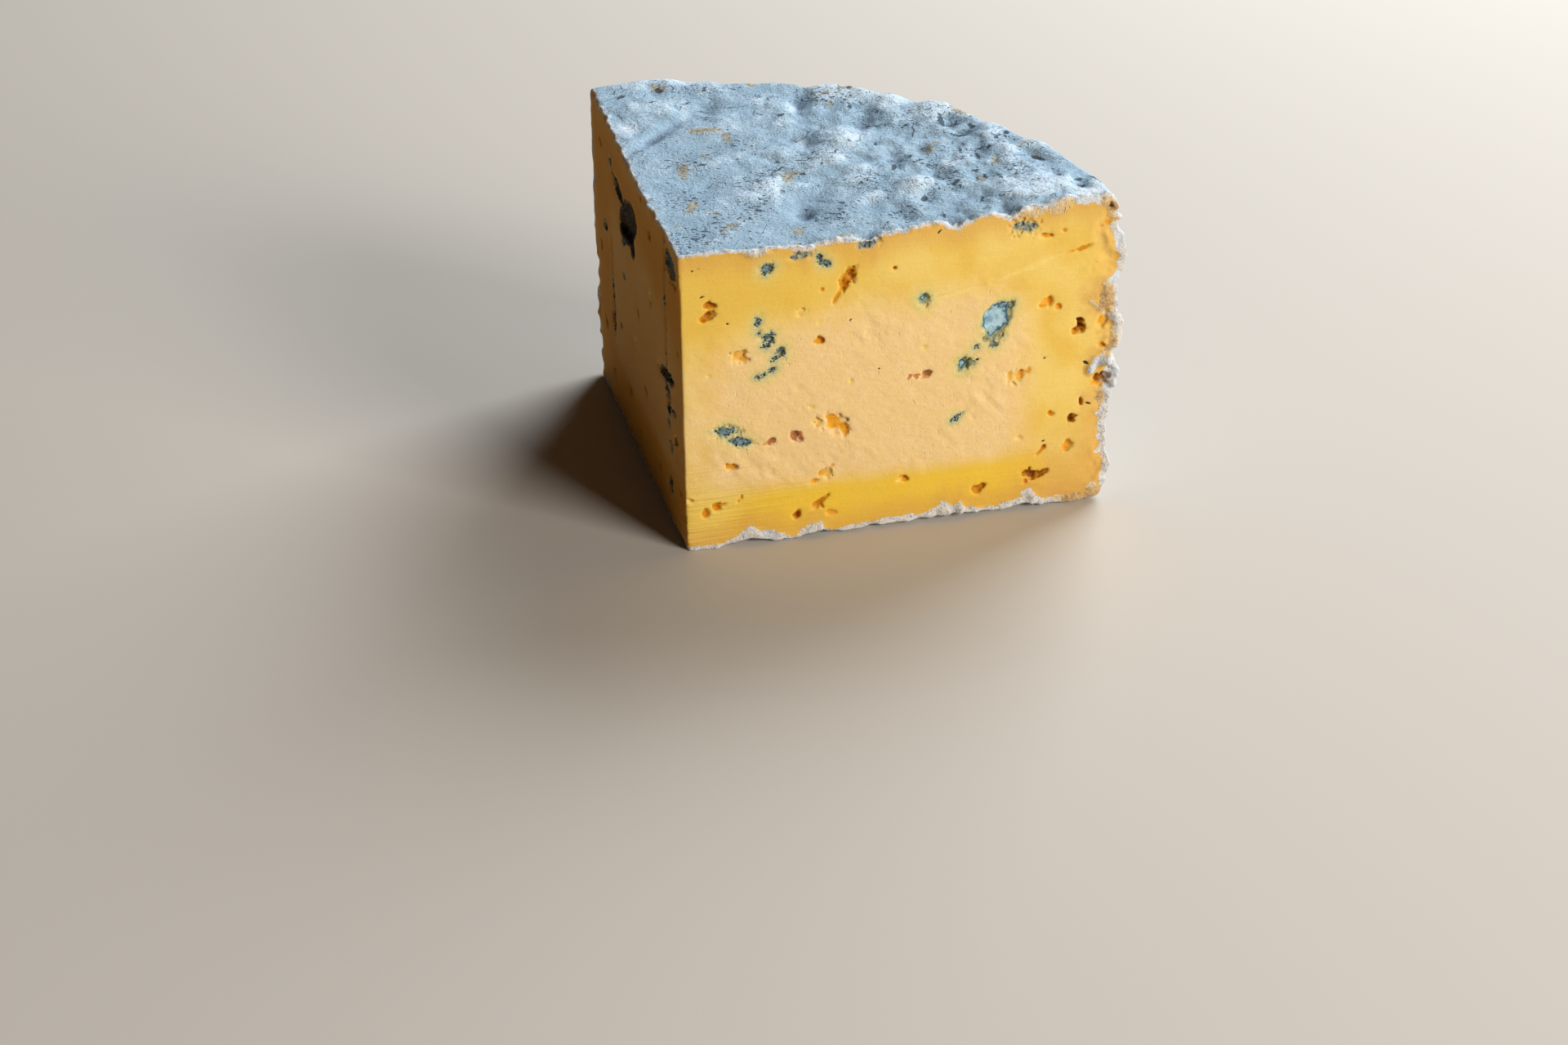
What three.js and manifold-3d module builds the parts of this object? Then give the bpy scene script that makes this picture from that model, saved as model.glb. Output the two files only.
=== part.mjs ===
// A quarter wedge cut from a wheel of blue-veined cheese, lying flat on its base.
// Millimetres, +Z up. The two cut faces are upright and square to each other: one faces -Y, the
// other faces -X, and they meet at the upright edge where the wheel's axis was. The natural rind
// is the top, the curved rim and the base. The origin is under the middle of the wedge's box.
import * as THREE from 'three';
import Module from 'manifold-3d';
import { mergeGeometries, mergeVertices } from 'three/addons/utils/BufferGeometryUtils.js';

// Driving dimensions of the wheel
const WHEEL_RADIUS = 114;
const CENTRE_HEIGHT = 82.8;
const RIM_HEIGHT = 87;
const RISE_START = 35;
const TOP_CORNER = 4;
const BASE_CORNER = 6;
const BARREL = 0.9;

// Number of steps of the mesh across the plan and up the height
const PLAN_STEPS = 33;
const HEIGHT_STEPS = 21;

// How far from the rim the cut faces are torn and uneven, and how deep
const TORN_WIDTH = 7;
const TORN_DEPTH = 1.1;

// Lumps (+) and hollows (-) of the top rind: x, y, half length, half width, turn in degrees, height
const TOP_RELIEF = [
  [37, 16, 3.6, 2.6, 60, -1.9],
  [40, 24, 7, 4, 60, -1.2],
  [16, 39, 6, 3, 60, -0.9],
  [10, 73, 12, 3, 45, -0.9],
  [54, 90, 10, 3, 75, -1.6],
  [67, 71, 9, 3.5, 65, -1.4],
  [89, 65, 4.5, 2.6, 80, -2],
  [91, 58, 4, 2, 30, -1.2],
  [68, 43, 6, 2.6, 80, -1.2],
  [104, 35, 5, 2, 110, -1.3],
  [90, 42, 6, 2, 80, -1.2],
  [69, 18, 3.4, 2.2, 70, -1.1],
  [82, 14, 3.2, 2, 70, -0.9],
  [109, 15, 3.2, 2.2, 60, -1.2],
  [18, 111, 5, 3, 80, -1.3],
  [30, 95, 8, 3, 75, -0.8],
  [76, 30, 6, 3, 60, -0.9],
  [80, 55, 7, 3, 60, -0.9],
  [47, 60, 7, 3, 60, -0.8],
  [104, 22, 3.2, 2.2, 80, -0.9],
  [33, 0, 3.6, 3, 0, -0.9],
  [48.5, 0, 3, 2.4, 0, -2.1],
  [71.5, 0, 2.2, 3, 0, -1.5],
  [85.5, 0, 2.2, 3.4, 0, -1.6],
  [63, 97, 6, 4, 20, 1.5],
  [47, 78, 6, 5, 60, 1.1],
  [60, 60, 8, 6, 50, 1.1],
  [68, 25, 6, 4, 80, 1.2],
  [85, 74, 6, 4, 50, 1.4],
  [97, 40, 5, 4, 80, 1],
  [28, 31, 10, 6, 20, 0.7],
  [33, 37, 4, 3, 60, 0.9],
  [100, 12, 8, 6, 0, 1.1],
  [24, 55, 8, 6, 30, 0.7],
  [10, 95, 8, 6, 60, 0.9],
  [36, 104, 8, 5, 70, 1.1],
  [78, 84, 6, 4, 45, 1],
  [96, 53, 6, 4, 70, 1],
  [56, 35, 7, 5, 40, 0.7],
];

// Bulges (+) and dents (-) of the rim beside the front cut face: height, half height, depth
const RIM_BESIDE_CUT = [
  [70, 6, 2.6],
  [62, 3.5, -1.6],
  [50, 7, 2.2],
  [36.5, 4, 1.4],
  [25, 7, -1.6],
  [9, 4.5, 0.9],
];
const BESIDE_CUT_REACH = 11;

// Random lumps of the rind, the same on every run
const RIM_LUMPS = 90;
const TOP_LUMPS = 110;
const LUMP_SEED = 20260;

// Open eyes, pockets and needle tracks in the cut faces, each a hollow at its place on the face:
// along the face from the upright edge, height, length, width, turn in degrees, depth
const FRONT_HOLLOWS = [
  [82.8, 57, 10.4, 6.6, 80, 4.2],
  [82.1, 51.6, 3.4, 2.4, 10, 2.2],
  [43.9, 71.9, 5.4, 3.2, 55, 3],
  [41.5, 68.6, 4.6, 1.5, 55, 1.8],
  [94, 9.4, 6.6, 2.6, 5, 3],
  [7.2, 66, 3.6, 2.6, 20, 2.2],
  [8, 68.7, 2.8, 1.5, 0, 1.6],
  [105.3, 50.6, 3.6, 2.4, 75, 3],
  [112, 35.6, 3.4, 2.6, 30, 3],
  [74.4, 44.4, 4.2, 3.2, 40, 1.8],
  [39.8, 32, 6.4, 4.2, 150, 1.6],
  [103.9, 24.6, 2.6, 2, 60, 2],
  [102.8, 16.8, 2.9, 2.3, 50, 1.8],
  [95.8, 16.7, 3.2, 1.3, 50, 1.6],
  [96.3, 58.4, 3.6, 2, 0, 2],
  [78.7, 7.5, 3.6, 2, 0, 1.8],
  [36.3, 10.1, 3.6, 1.8, 40, 1.8],
  [29.5, 6.9, 2.2, 1.7, 0, 1.6],
  [58.2, 13.4, 2.7, 1.4, 160, 1.4],
  [8.7, 12.6, 2.6, 1.8, 20, 1.6],
  [36.6, 18.1, 3.4, 2.6, 40, 1.4],
  [89.3, 39.8, 5.4, 3.2, 10, 1.2],
  [62.3, 42.8, 5, 1.5, 10, 1.4],
  [29.6, 29.5, 3, 2.4, 120, 1.4],
  [15.4, 53.8, 3.4, 2.6, 20, 1.3],
  [63.2, 63.8, 2.6, 2.2, 60, 1.6],
  [25.3, 53.3, 3.6, 1.6, 50, 1.4],
  [12.7, 22.9, 2.6, 1.5, 0, 1.4],
  [11.4, 33.2, 6.2, 1.6, 170, 1],
  [106.2, 29.2, 2.8, 1.1, 90, 1.8],
];
const SIDE_HOLLOWS = [
  [63.5, 66, 22, 10, -18, 4],
  [18.4, 62, 38, 2.2, 90, 1.4],
  [88.8, 38, 27, 2, 90, 1.3],
  [20, 41.8, 18, 3.6, -12, 2],
  [17.5, 35, 6, 5, 60, 1.6],
  [17.6, 11.4, 4.6, 3.6, 30, 1.8],
  [9.7, 27.6, 4, 2.6, 20, 2],
  [96.5, 52.5, 4.6, 3, 20, 1.5],
  [73, 72.5, 4.4, 2.6, 0, 1.5],
  [48, 24, 3.2, 2, 30, 1.8],
  [70, 14, 3.6, 1.8, 0, 1.8],
  [101, 21, 3, 2.2, 60, 2],
  [36, 74, 2.6, 1.8, 0, 1.6],
  [54, 44, 3, 1.4, 40, 1.4],
];

// Look of the paste
const PASTE_COLOUR = 0xeebb55;
const PASTE_ROUGHNESS = 0.5;

const smooth = (from, to, value) => THREE.MathUtils.smoothstep(value, from, to);
const bell = (squaredDistance) => Math.exp(-squaredDistance);
const radians = THREE.MathUtils.degToRad;

// A small congruential generator, so that every run draws the same lumps
function drawer(seed) {
  let state = seed;
  return () => {
    state = (state * 1664525 + 1013904223) % 4294967296;
    return state / 4294967296;
  };
}

// Random round lumps over a rectangle: place, half size and height of each
function drawLumps(count, seed, across, up, smallest, largest, height) {
  const next = drawer(seed);
  const lumps = [];
  for (let i = 0; i < count; i += 1) {
    const x = next() * across;
    const y = next() * up;
    const size = smallest + (largest - smallest) * next();
    lumps.push([x, y, size, height * (2 * next() - 1)]);
  }
  return lumps;
}

const QUARTER_ARC = WHEEL_RADIUS * Math.PI / 2;
const rimLumps = drawLumps(RIM_LUMPS, LUMP_SEED, QUARTER_ARC, RIM_HEIGHT, 3.5, 9, 1.7);
const topLumps = drawLumps(TOP_LUMPS, LUMP_SEED + 1, WHEEL_RADIUS, WHEEL_RADIUS, 2.6, 6, 0.75);

const sumOfLumps = (lumps, x, y) => lumps.reduce(
  (sum, [cx, cy, size, height]) => sum + height * bell(((x - cx) ** 2 + (y - cy) ** 2) / size ** 2), 0);

// Height of the top before its relief: flat round the axis, higher towards the rim
const plainHeight = (radius) => CENTRE_HEIGHT
  + (RIM_HEIGHT - CENTRE_HEIGHT) * smooth(RISE_START, WHEEL_RADIUS, radius);

// Relief of the top rind, stronger towards the rim
function topRelief(x, y) {
  const radius = Math.hypot(x, y);
  let height = sumOfLumps(topLumps, x, y) * (0.35 + 0.65 * smooth(20, 90, radius));
  for (const [cx, cy, halfLength, halfWidth, turn, rise] of TOP_RELIEF) {
    const along = (x - cx) * Math.cos(radians(turn)) + (y - cy) * Math.sin(radians(turn));
    const across = (y - cy) * Math.cos(radians(turn)) - (x - cx) * Math.sin(radians(turn));
    height += rise * bell((along / halfLength) ** 2 + (across / halfWidth) ** 2);
  }
  return height;
}

// Radius of the rim at an angle from the front cut face and a height
function rimRadius(angle, height) {
  const arc = angle * WHEEL_RADIUS;
  let radius = WHEEL_RADIUS + BARREL * Math.sin(Math.PI * THREE.MathUtils.clamp(height / RIM_HEIGHT, 0, 1));
  radius += sumOfLumps(rimLumps, arc, height) * smooth(0, BESIDE_CUT_REACH, arc);
  for (const [middle, halfHeight, depth] of RIM_BESIDE_CUT) {
    radius += depth * bell(((height - middle) / halfHeight) ** 2 + (arc / BESIDE_CUT_REACH) ** 2);
  }
  return radius;
}

// How far the foot of the rim draws in at a height, on a round corner
const footInset = (height) => BASE_CORNER
  - Math.sqrt(BASE_CORNER ** 2 - Math.max(0, BASE_CORNER - height) ** 2);

// A block of unit size, bent into the quarter wheel: a and b run over the plan, c runs up
function wedgePoint(a, b, c) {
  const u = a * Math.sqrt(1 - b * b / 2);
  const v = b * Math.sqrt(1 - a * a / 2);
  const reach = Math.hypot(u, v);
  const angle = Math.atan2(v, u);
  const height = plainHeight(reach * WHEEL_RADIUS);
  const edge = rimRadius(angle, c * height) - footInset(c * height);
  let radius = reach * edge;
  let z = c * height;

  // Round the corner at the top of the rim
  const outward = radius - (edge - TOP_CORNER);
  const upward = z - (height - TOP_CORNER);
  if (outward > 0 && upward > 0) {
    const pull = Math.max(outward, upward) / Math.hypot(outward, upward);
    radius = edge - TOP_CORNER + outward * pull;
    z = height - TOP_CORNER + upward * pull;
  }

  const x = radius * Math.cos(angle);
  const y = radius * Math.sin(angle);
  z += topRelief(x, y) * smooth(0.8, 1, c);
  return new THREE.Vector3(x, y, z);
}

// Where a cut face is torn beside the rind: how far its surface lies back at a place on the face
function tornDepth(along, height, lumps) {
  const fromRind = Math.min(WHEEL_RADIUS + 1 - along, 2.2 * (plainHeight(along) - height) + 2);
  const ragged = 0.5 + sumOfLumps(lumps, along, height);
  return TORN_DEPTH * (1 - smooth(0, TORN_WIDTH, fromRind)) * THREE.MathUtils.clamp(ragged, 0, 1.4);
}
const frontTears = drawLumps(160, LUMP_SEED + 2, WHEEL_RADIUS, RIM_HEIGHT, 1.6, 4, 1.2);
const sideTears = drawLumps(160, LUMP_SEED + 3, WHEEL_RADIUS, RIM_HEIGHT, 1.6, 4, 1.2);

// A point of the wedge's surface, with the cut faces torn. Its place on the block is brought to the
// block's exact steps, so that faces made apart meet in the same points.
function surfacePoint(blockX, blockY, blockZ) {
  const a = Math.round(blockX * PLAN_STEPS) / PLAN_STEPS;
  const b = Math.round(blockY * PLAN_STEPS) / PLAN_STEPS;
  const c = Math.round(blockZ * HEIGHT_STEPS) / HEIGHT_STEPS;
  const point = wedgePoint(a, b, c);
  if (b === 0) {
    point.y += tornDepth(point.x, point.z, frontTears);
  }
  if (a === 0) {
    point.x += tornDepth(point.y, point.z, sideTears);
  }
  return point;
}

// The top, the rim and the cut faces: a block's sides without its underside
function sidesAndTop() {
  const block = new THREE.BoxGeometry(1, 1, 1, PLAN_STEPS, PLAN_STEPS, HEIGHT_STEPS);
  block.translate(0.5, 0.5, 0.5);
  const underside = block.groups[5];
  block.setIndex(Array.from(block.index.array).slice(0, underside.start));
  block.clearGroups();
  const position = block.getAttribute('position');
  for (let i = 0; i < position.count; i += 1) {
    const point = surfacePoint(position.getX(i), position.getY(i), position.getZ(i));
    position.setXYZ(i, point.x, point.y, point.z);
  }
  return block;
}

// The flat base, one polygon through the foot of the four sides
function base() {
  const walk = [(t) => [t, 0], (t) => [1, t], (t) => [1 - t, 1], (t) => [0, 1 - t]];
  const outline = [];
  for (const side of walk) {
    for (let i = 0; i < PLAN_STEPS; i += 1) {
      const [a, b] = side(i / PLAN_STEPS);
      const foot = surfacePoint(a, b, 0);
      outline.push(new THREE.Vector2(foot.x, foot.y));
    }
  }
  const faces = THREE.ShapeUtils.triangulateShape(outline, []);
  const geometry = new THREE.BufferGeometry();
  geometry.setAttribute('position', new THREE.Float32BufferAttribute(outline.flatMap(({ x, y }) => [x, y, 0]), 3));
  geometry.setIndex(faces.flatMap(([i, j, k]) => [i, k, j]));
  return geometry;
}

// The uncut body of the wedge, before its eyes are opened
function wedgeBody() {
  const shell = sidesAndTop();
  shell.deleteAttribute('normal');
  shell.deleteAttribute('uv');
  return mergeGeometries([shell, base()]);
}

// One hollow as an ellipsoid half sunk in the front cut face, finer when it is large
function hollow([along, height, length, width, turn, depth]) {
  const detail = length > 9 ? 2 : length > 3.5 ? 1 : 0;
  const geometry = new THREE.IcosahedronGeometry(1, detail);
  geometry.scale(length / 2, depth, width / 2);
  geometry.rotateY(-radians(turn));
  geometry.translate(along, 0, height);
  return geometry;
}

// The same hollow in the side cut face
const sideHollow = (row) => hollow(row).rotateZ(Math.PI / 2);

const wasm = await Module();
wasm.setup();

// A closed three.js geometry as a solid that can be cut
function solid(geometry) {
  geometry.deleteAttribute('normal');
  geometry.deleteAttribute('uv');
  const merged = mergeVertices(geometry, 1e-4);
  return new wasm.Manifold(new wasm.Mesh({
    numProp: 3,
    vertProperties: new Float32Array(merged.getAttribute('position').array),
    triVerts: new Uint32Array(merged.index.array),
  }));
}

// The wedge with its eyes, pockets and needle tracks opened
let wedge = solid(wedgeBody());
for (const row of FRONT_HOLLOWS) {
  wedge = wedge.subtract(solid(hollow(row)));
}
for (const row of SIDE_HOLLOWS) {
  wedge = wedge.subtract(solid(sideHollow(row)));
}

// The solid back as a three.js geometry, over its origin
function geometryOf(body) {
  const { numProp, vertProperties, triVerts } = body.getMesh();
  const points = new Float32Array(vertProperties.length / numProp * 3);
  for (let i = 0; i < points.length / 3; i += 1) {
    for (let axis = 0; axis < 3; axis += 1) {
      points[3 * i + axis] = vertProperties[numProp * i + axis];
    }
  }
  const geometry = new THREE.BufferGeometry();
  geometry.setAttribute('position', new THREE.BufferAttribute(points, 3));
  geometry.setIndex(new THREE.BufferAttribute(new Uint32Array(triVerts), 1));
  geometry.computeBoundingBox();
  const { min, max } = geometry.boundingBox;
  geometry.translate(-(min.x + max.x) / 2, -(min.y + max.y) / 2, -min.z);
  geometry.computeVertexNormals();
  return geometry;
}

const paste = new THREE.MeshStandardMaterial({ color: PASTE_COLOUR, roughness: PASTE_ROUGHNESS, metalness: 0 });
const mesh = new THREE.Mesh(geometryOf(wedge), paste);
mesh.name = 'cheese_wedge';

const cheese = new THREE.Group();
cheese.add(mesh);
export default cheese;
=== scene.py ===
import itertools
import math

import bmesh
import bpy
import numpy as np
from mathutils import Matrix, Vector


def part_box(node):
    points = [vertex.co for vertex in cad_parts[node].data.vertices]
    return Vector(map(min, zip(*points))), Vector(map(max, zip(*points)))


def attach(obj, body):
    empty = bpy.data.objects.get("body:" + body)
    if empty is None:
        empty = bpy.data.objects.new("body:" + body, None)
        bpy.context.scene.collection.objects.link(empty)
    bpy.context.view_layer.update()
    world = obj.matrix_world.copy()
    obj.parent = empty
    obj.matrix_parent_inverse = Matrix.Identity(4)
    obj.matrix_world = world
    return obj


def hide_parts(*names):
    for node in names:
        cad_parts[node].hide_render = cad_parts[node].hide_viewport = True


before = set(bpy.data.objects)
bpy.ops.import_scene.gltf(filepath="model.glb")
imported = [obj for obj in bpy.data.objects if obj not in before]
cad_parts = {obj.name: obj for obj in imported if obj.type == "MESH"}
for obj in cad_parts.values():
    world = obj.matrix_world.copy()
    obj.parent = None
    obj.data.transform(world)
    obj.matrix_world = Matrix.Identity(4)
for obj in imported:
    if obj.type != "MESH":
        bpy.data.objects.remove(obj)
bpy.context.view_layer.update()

# The wedge is worked out in millimetres from the foot of its upright edge: x runs along the front
# cut face, y along the side cut face, z up. It is a field of distances on a grid, negative inside
# the cheese. The field's zero surface is turned into one closed mesh.

NODE = "cheese_wedge"
MILLIMETRE = 0.001

# Driving dimensions of the wheel
WHEEL_RADIUS = 114.0
CENTRE_HEIGHT = 82.8
RIM_HEIGHT = 87.0
RISE_START = 35.0
TOP_CORNER = 2.2
BASE_CORNER = 6.0
BARREL = 0.9
CUT_CORNER = 0.7
SKIN_CORNER = 0.5

# Lumps (+) and hollows (-) of the top rind: x, y, half length, half width, turn in degrees, height
TOP_RELIEF = [
    (37.7, 18.9, 3.6, 2.6, 60, -1.9), (40.6, 26.5, 7, 4, 60, -1.2), (16.7, 41.7, 6, 3, 60, -0.9),
    (9.5, 75, 13, 1.8, 43, -1.4), (53, 86, 10, 3, 75, -1.6), (66.2, 67.6, 9, 3.5, 65, -1.4),
    (87.8, 60.3, 4.5, 2.6, 80, -2), (90, 53.9, 4, 2, 30, -1.2), (67.6, 41.6, 6, 2.6, 80, -1.2),
    (102.9, 30.5, 5, 2, 110, -1.3), (89.1, 38.4, 6, 2, 80, -1.2), (68.9, 17.8, 3.4, 2.2, 70, -1.1),
    (81.5, 12.1, 3.2, 2, 70, -0.9), (107.8, 10.3, 3.2, 2.2, 60, -1.2), (16.7, 105.5, 5, 3, 80, -1.3),
    (29.1, 91.5, 8, 3, 75, -0.8), (75.6, 28.4, 6, 3, 60, -0.9), (79.2, 51.6, 7, 3, 60, -0.9),
    (46.8, 59.1, 7, 3, 60, -0.8), (103, 17.8, 3.2, 2.2, 80, -0.9), (33, 0, 3.6, 3, 0, -0.9),
    (48.5, 0, 3, 2.4, 0, -2.1), (71.5, 0, 2.2, 3, 0, -1.5), (85.5, 0, 2.2, 3.4, 0, -1.6),
    (61.6, 91.2, 6, 4, 20, 1.5), (46.3, 75.3, 6, 5, 60, 1.1), (59.5, 58.1, 8, 6, 50, 1.1),
    (67.9, 24.6, 6, 4, 80, 1.2), (83.6, 68.2, 6, 4, 50, 1.4), (96, 35.8, 5, 4, 80, 1),
    (28.7, 33.8, 10, 6, 20, 0.7), (33.5, 39.2, 4, 3, 60, 0.9), (99.1, 8.2, 8, 6, 0, 1.1),
    (24.3, 56.1, 8, 6, 30, 0.7), (9.2, 91.9, 8, 6, 60, 0.9), (35.1, 100.2, 8, 5, 70, 1.1),
    (76.7, 78.6, 6, 4, 45, 1), (94.9, 48.4, 6, 4, 70, 1), (56.1, 35.4, 7, 5, 40, 0.7),
]

# Height of the crest along the top's outer edge, at angles round the wheel from the front cut
RIM_CREST = [
    (0, 0.4), (6, 0.3), (11, -0.3), (16, 0.2), (20.5, 0.7), (24, -0.3), (27, 0.4), (31, -0.3), (34, 0.6),
    (36, 1.2), (37.5, 2.3), (39.5, 1.6), (42, 0.3), (45, 0.5), (47.5, 1.3), (50, 2.1), (53, 1.9), (56, 1),
    (59, 0.2), (61, 0.8), (65, 0.5), (69, 0.3), (71, -1.1), (73, -0.2), (77, 0.3), (79, 1.4), (81, 1.8),
    (84, 1), (87, 0.4), (90, 0),
]

# How far the base's edge is lifted under the front cut face, at places along it
BASE_LIFT = [
    (0, 0), (9, 0), (13, 0.8), (17, 1.6), (20, 1.3), (24, 0.4), (28, 0.2), (32, 1.1), (36, 1.7),
    (38, 0.6), (44, 0.5), (52, 0.8), (60, 0.7), (68, 1.1), (74, 1.2), (84, 0.5), (92, 1.5), (96, 0.5),
    (104, 0.3), (112, 0.6),
]
BASE_LIFT_REACH = 7.0

# Bulges (+) and dents (-) of the rim beside the front cut face: height, half height, depth
RIM_BESIDE_CUT = [
    (0, 3, 1), (10, 2.6, 1.2), (21, 6.5, -0.9), (37, 2.7, 1.8), (49.3, 4.6, 2.4), (60, 4, 0.9),
    (70.2, 5.2, 3.3), (82, 3, 0.5),
]
BESIDE_CUT_REACH = 11.0

# Smaller flakes of the same edge
RIM_FLAKES = [
    (46, 1.6, 0.6), (56, 1.6, 0.3), (65.4, 1.5, 1.2), (75.5, 2, 0.9), (80.1, 0.7, 1.8),
]
FLAKE_REACH = 5.0

# Thickness of the crust that the front cut face shows: under the top and over the base at places
# along the face, and beside the rim at heights
TOP_CRUST = [
    (0, 0.6), (10, 0.45), (15, 0.8), (18, 1.9), (21, 2.3), (23.5, 1.3), (26.5, 0.4), (30, 1.2),
    (32.5, 2.3), (35, 1.2), (39, 1.4), (41, 0.8), (46, 1.3), (50.8, 2.0), (52, 0.6), (57, 1.2),
    (62, 1.0), (67, 0.8), (70, 1.4), (72, 0.7), (73.2, 1.9), (76.5, 0.7), (84, 0.9), (87.6, 1.4),
    (92.1, 3.0), (95, 1.8), (98, 2.4), (101, 2.6), (103, 1.3), (105.5, 2.2), (107.5, 2.3), (109.5, 1.8), (112, 3.4),
]
BASE_CRUST = [
    (0, 1.5), (6, 1.2), (13, 1.6), (16.6, 3.8), (18.4, 3.9), (20, 2.6), (24.5, 2.4), (27, 1.1),
    (28.5, 0.6), (30, 1.8), (32.5, 2.8), (35.7, 3.3), (37.4, 0.6), (44, 1.1), (53, 1.6), (59, 2.3),
    (63, 1.3), (66, 2.1), (68.8, 3.6), (70.3, 3.1), (71.8, 1.8), (73.6, 3.9), (75.5, 1.8), (82, 1.3),
    (89, 1.9), (92, 3.6), (93.5, 4.4), (95.2, 2.4), (100, 2.1), (112, 2.3),
]
RIM_CRUST = [
    (0, 2.2), (9, 2), (13, 2.7), (18, 2.4), (26, 3.1), (31, 4.1), (34, 3.4), (46, 3.8), (50, 3.2),
    (53, 3.1), (56, 5.6), (59, 5.6), (62, 4.2), (65, 2.1), (70, 2.4), (73, 2.8), (77, 2.3), (83, 2.8),
]
SIDE_TOP_CRUST = 0.7
SIDE_BASE_CRUST = 1.2
SIDE_RIM_CRUST = 2.0

# Tan, crumbly places of that crust
TAN_CRUST = [
    (112, 58.5, 7, 10, 0), (113, 46, 5, 8, 0), (111, 30, 4, 5, 0), (107.5, 2, 17, 4.4, 8),
    (112.6, 84, 4.6, 3.4, -20),
]

# White, downy places of that crust
WHITE_CRUST = [
    (106.6, 86, 6.6, 5, 0), (112, 38.4, 9, 7, -20), (114.6, 33.6, 5, 7, 0), (114.5, 63.5, 4, 4, 0),
    (115.6, 75, 4, 6, 0),
]

# Rows of short upright nicks in the front cut face
FRONT_NICKS = [
    (25.2, 63.8, 7, 1.8, 0), (86.6, 52, 6, 12, 0), (19, 36, 9, 2.4, 0), (91, 38.6, 6, 5, 0),
    (48, 18.6, 8, 1.6, 0),
]
NICK_SPACING = 0.95

# Crumbly places of the front cut face: place along it, height, length, width, turn in degrees
FRONT_CRUMBLES = [
    (110, 67.6, 10, 5, 0), (112.5, 58, 9, 14, 0), (110, 78, 7, 8, 0), (111, 10, 6, 12, 0),
]

# Random lumps of the rind, the same on every run
RIM_LUMPS = 90
TOP_LUMPS = 110
LUMP_SEED = 20260

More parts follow.
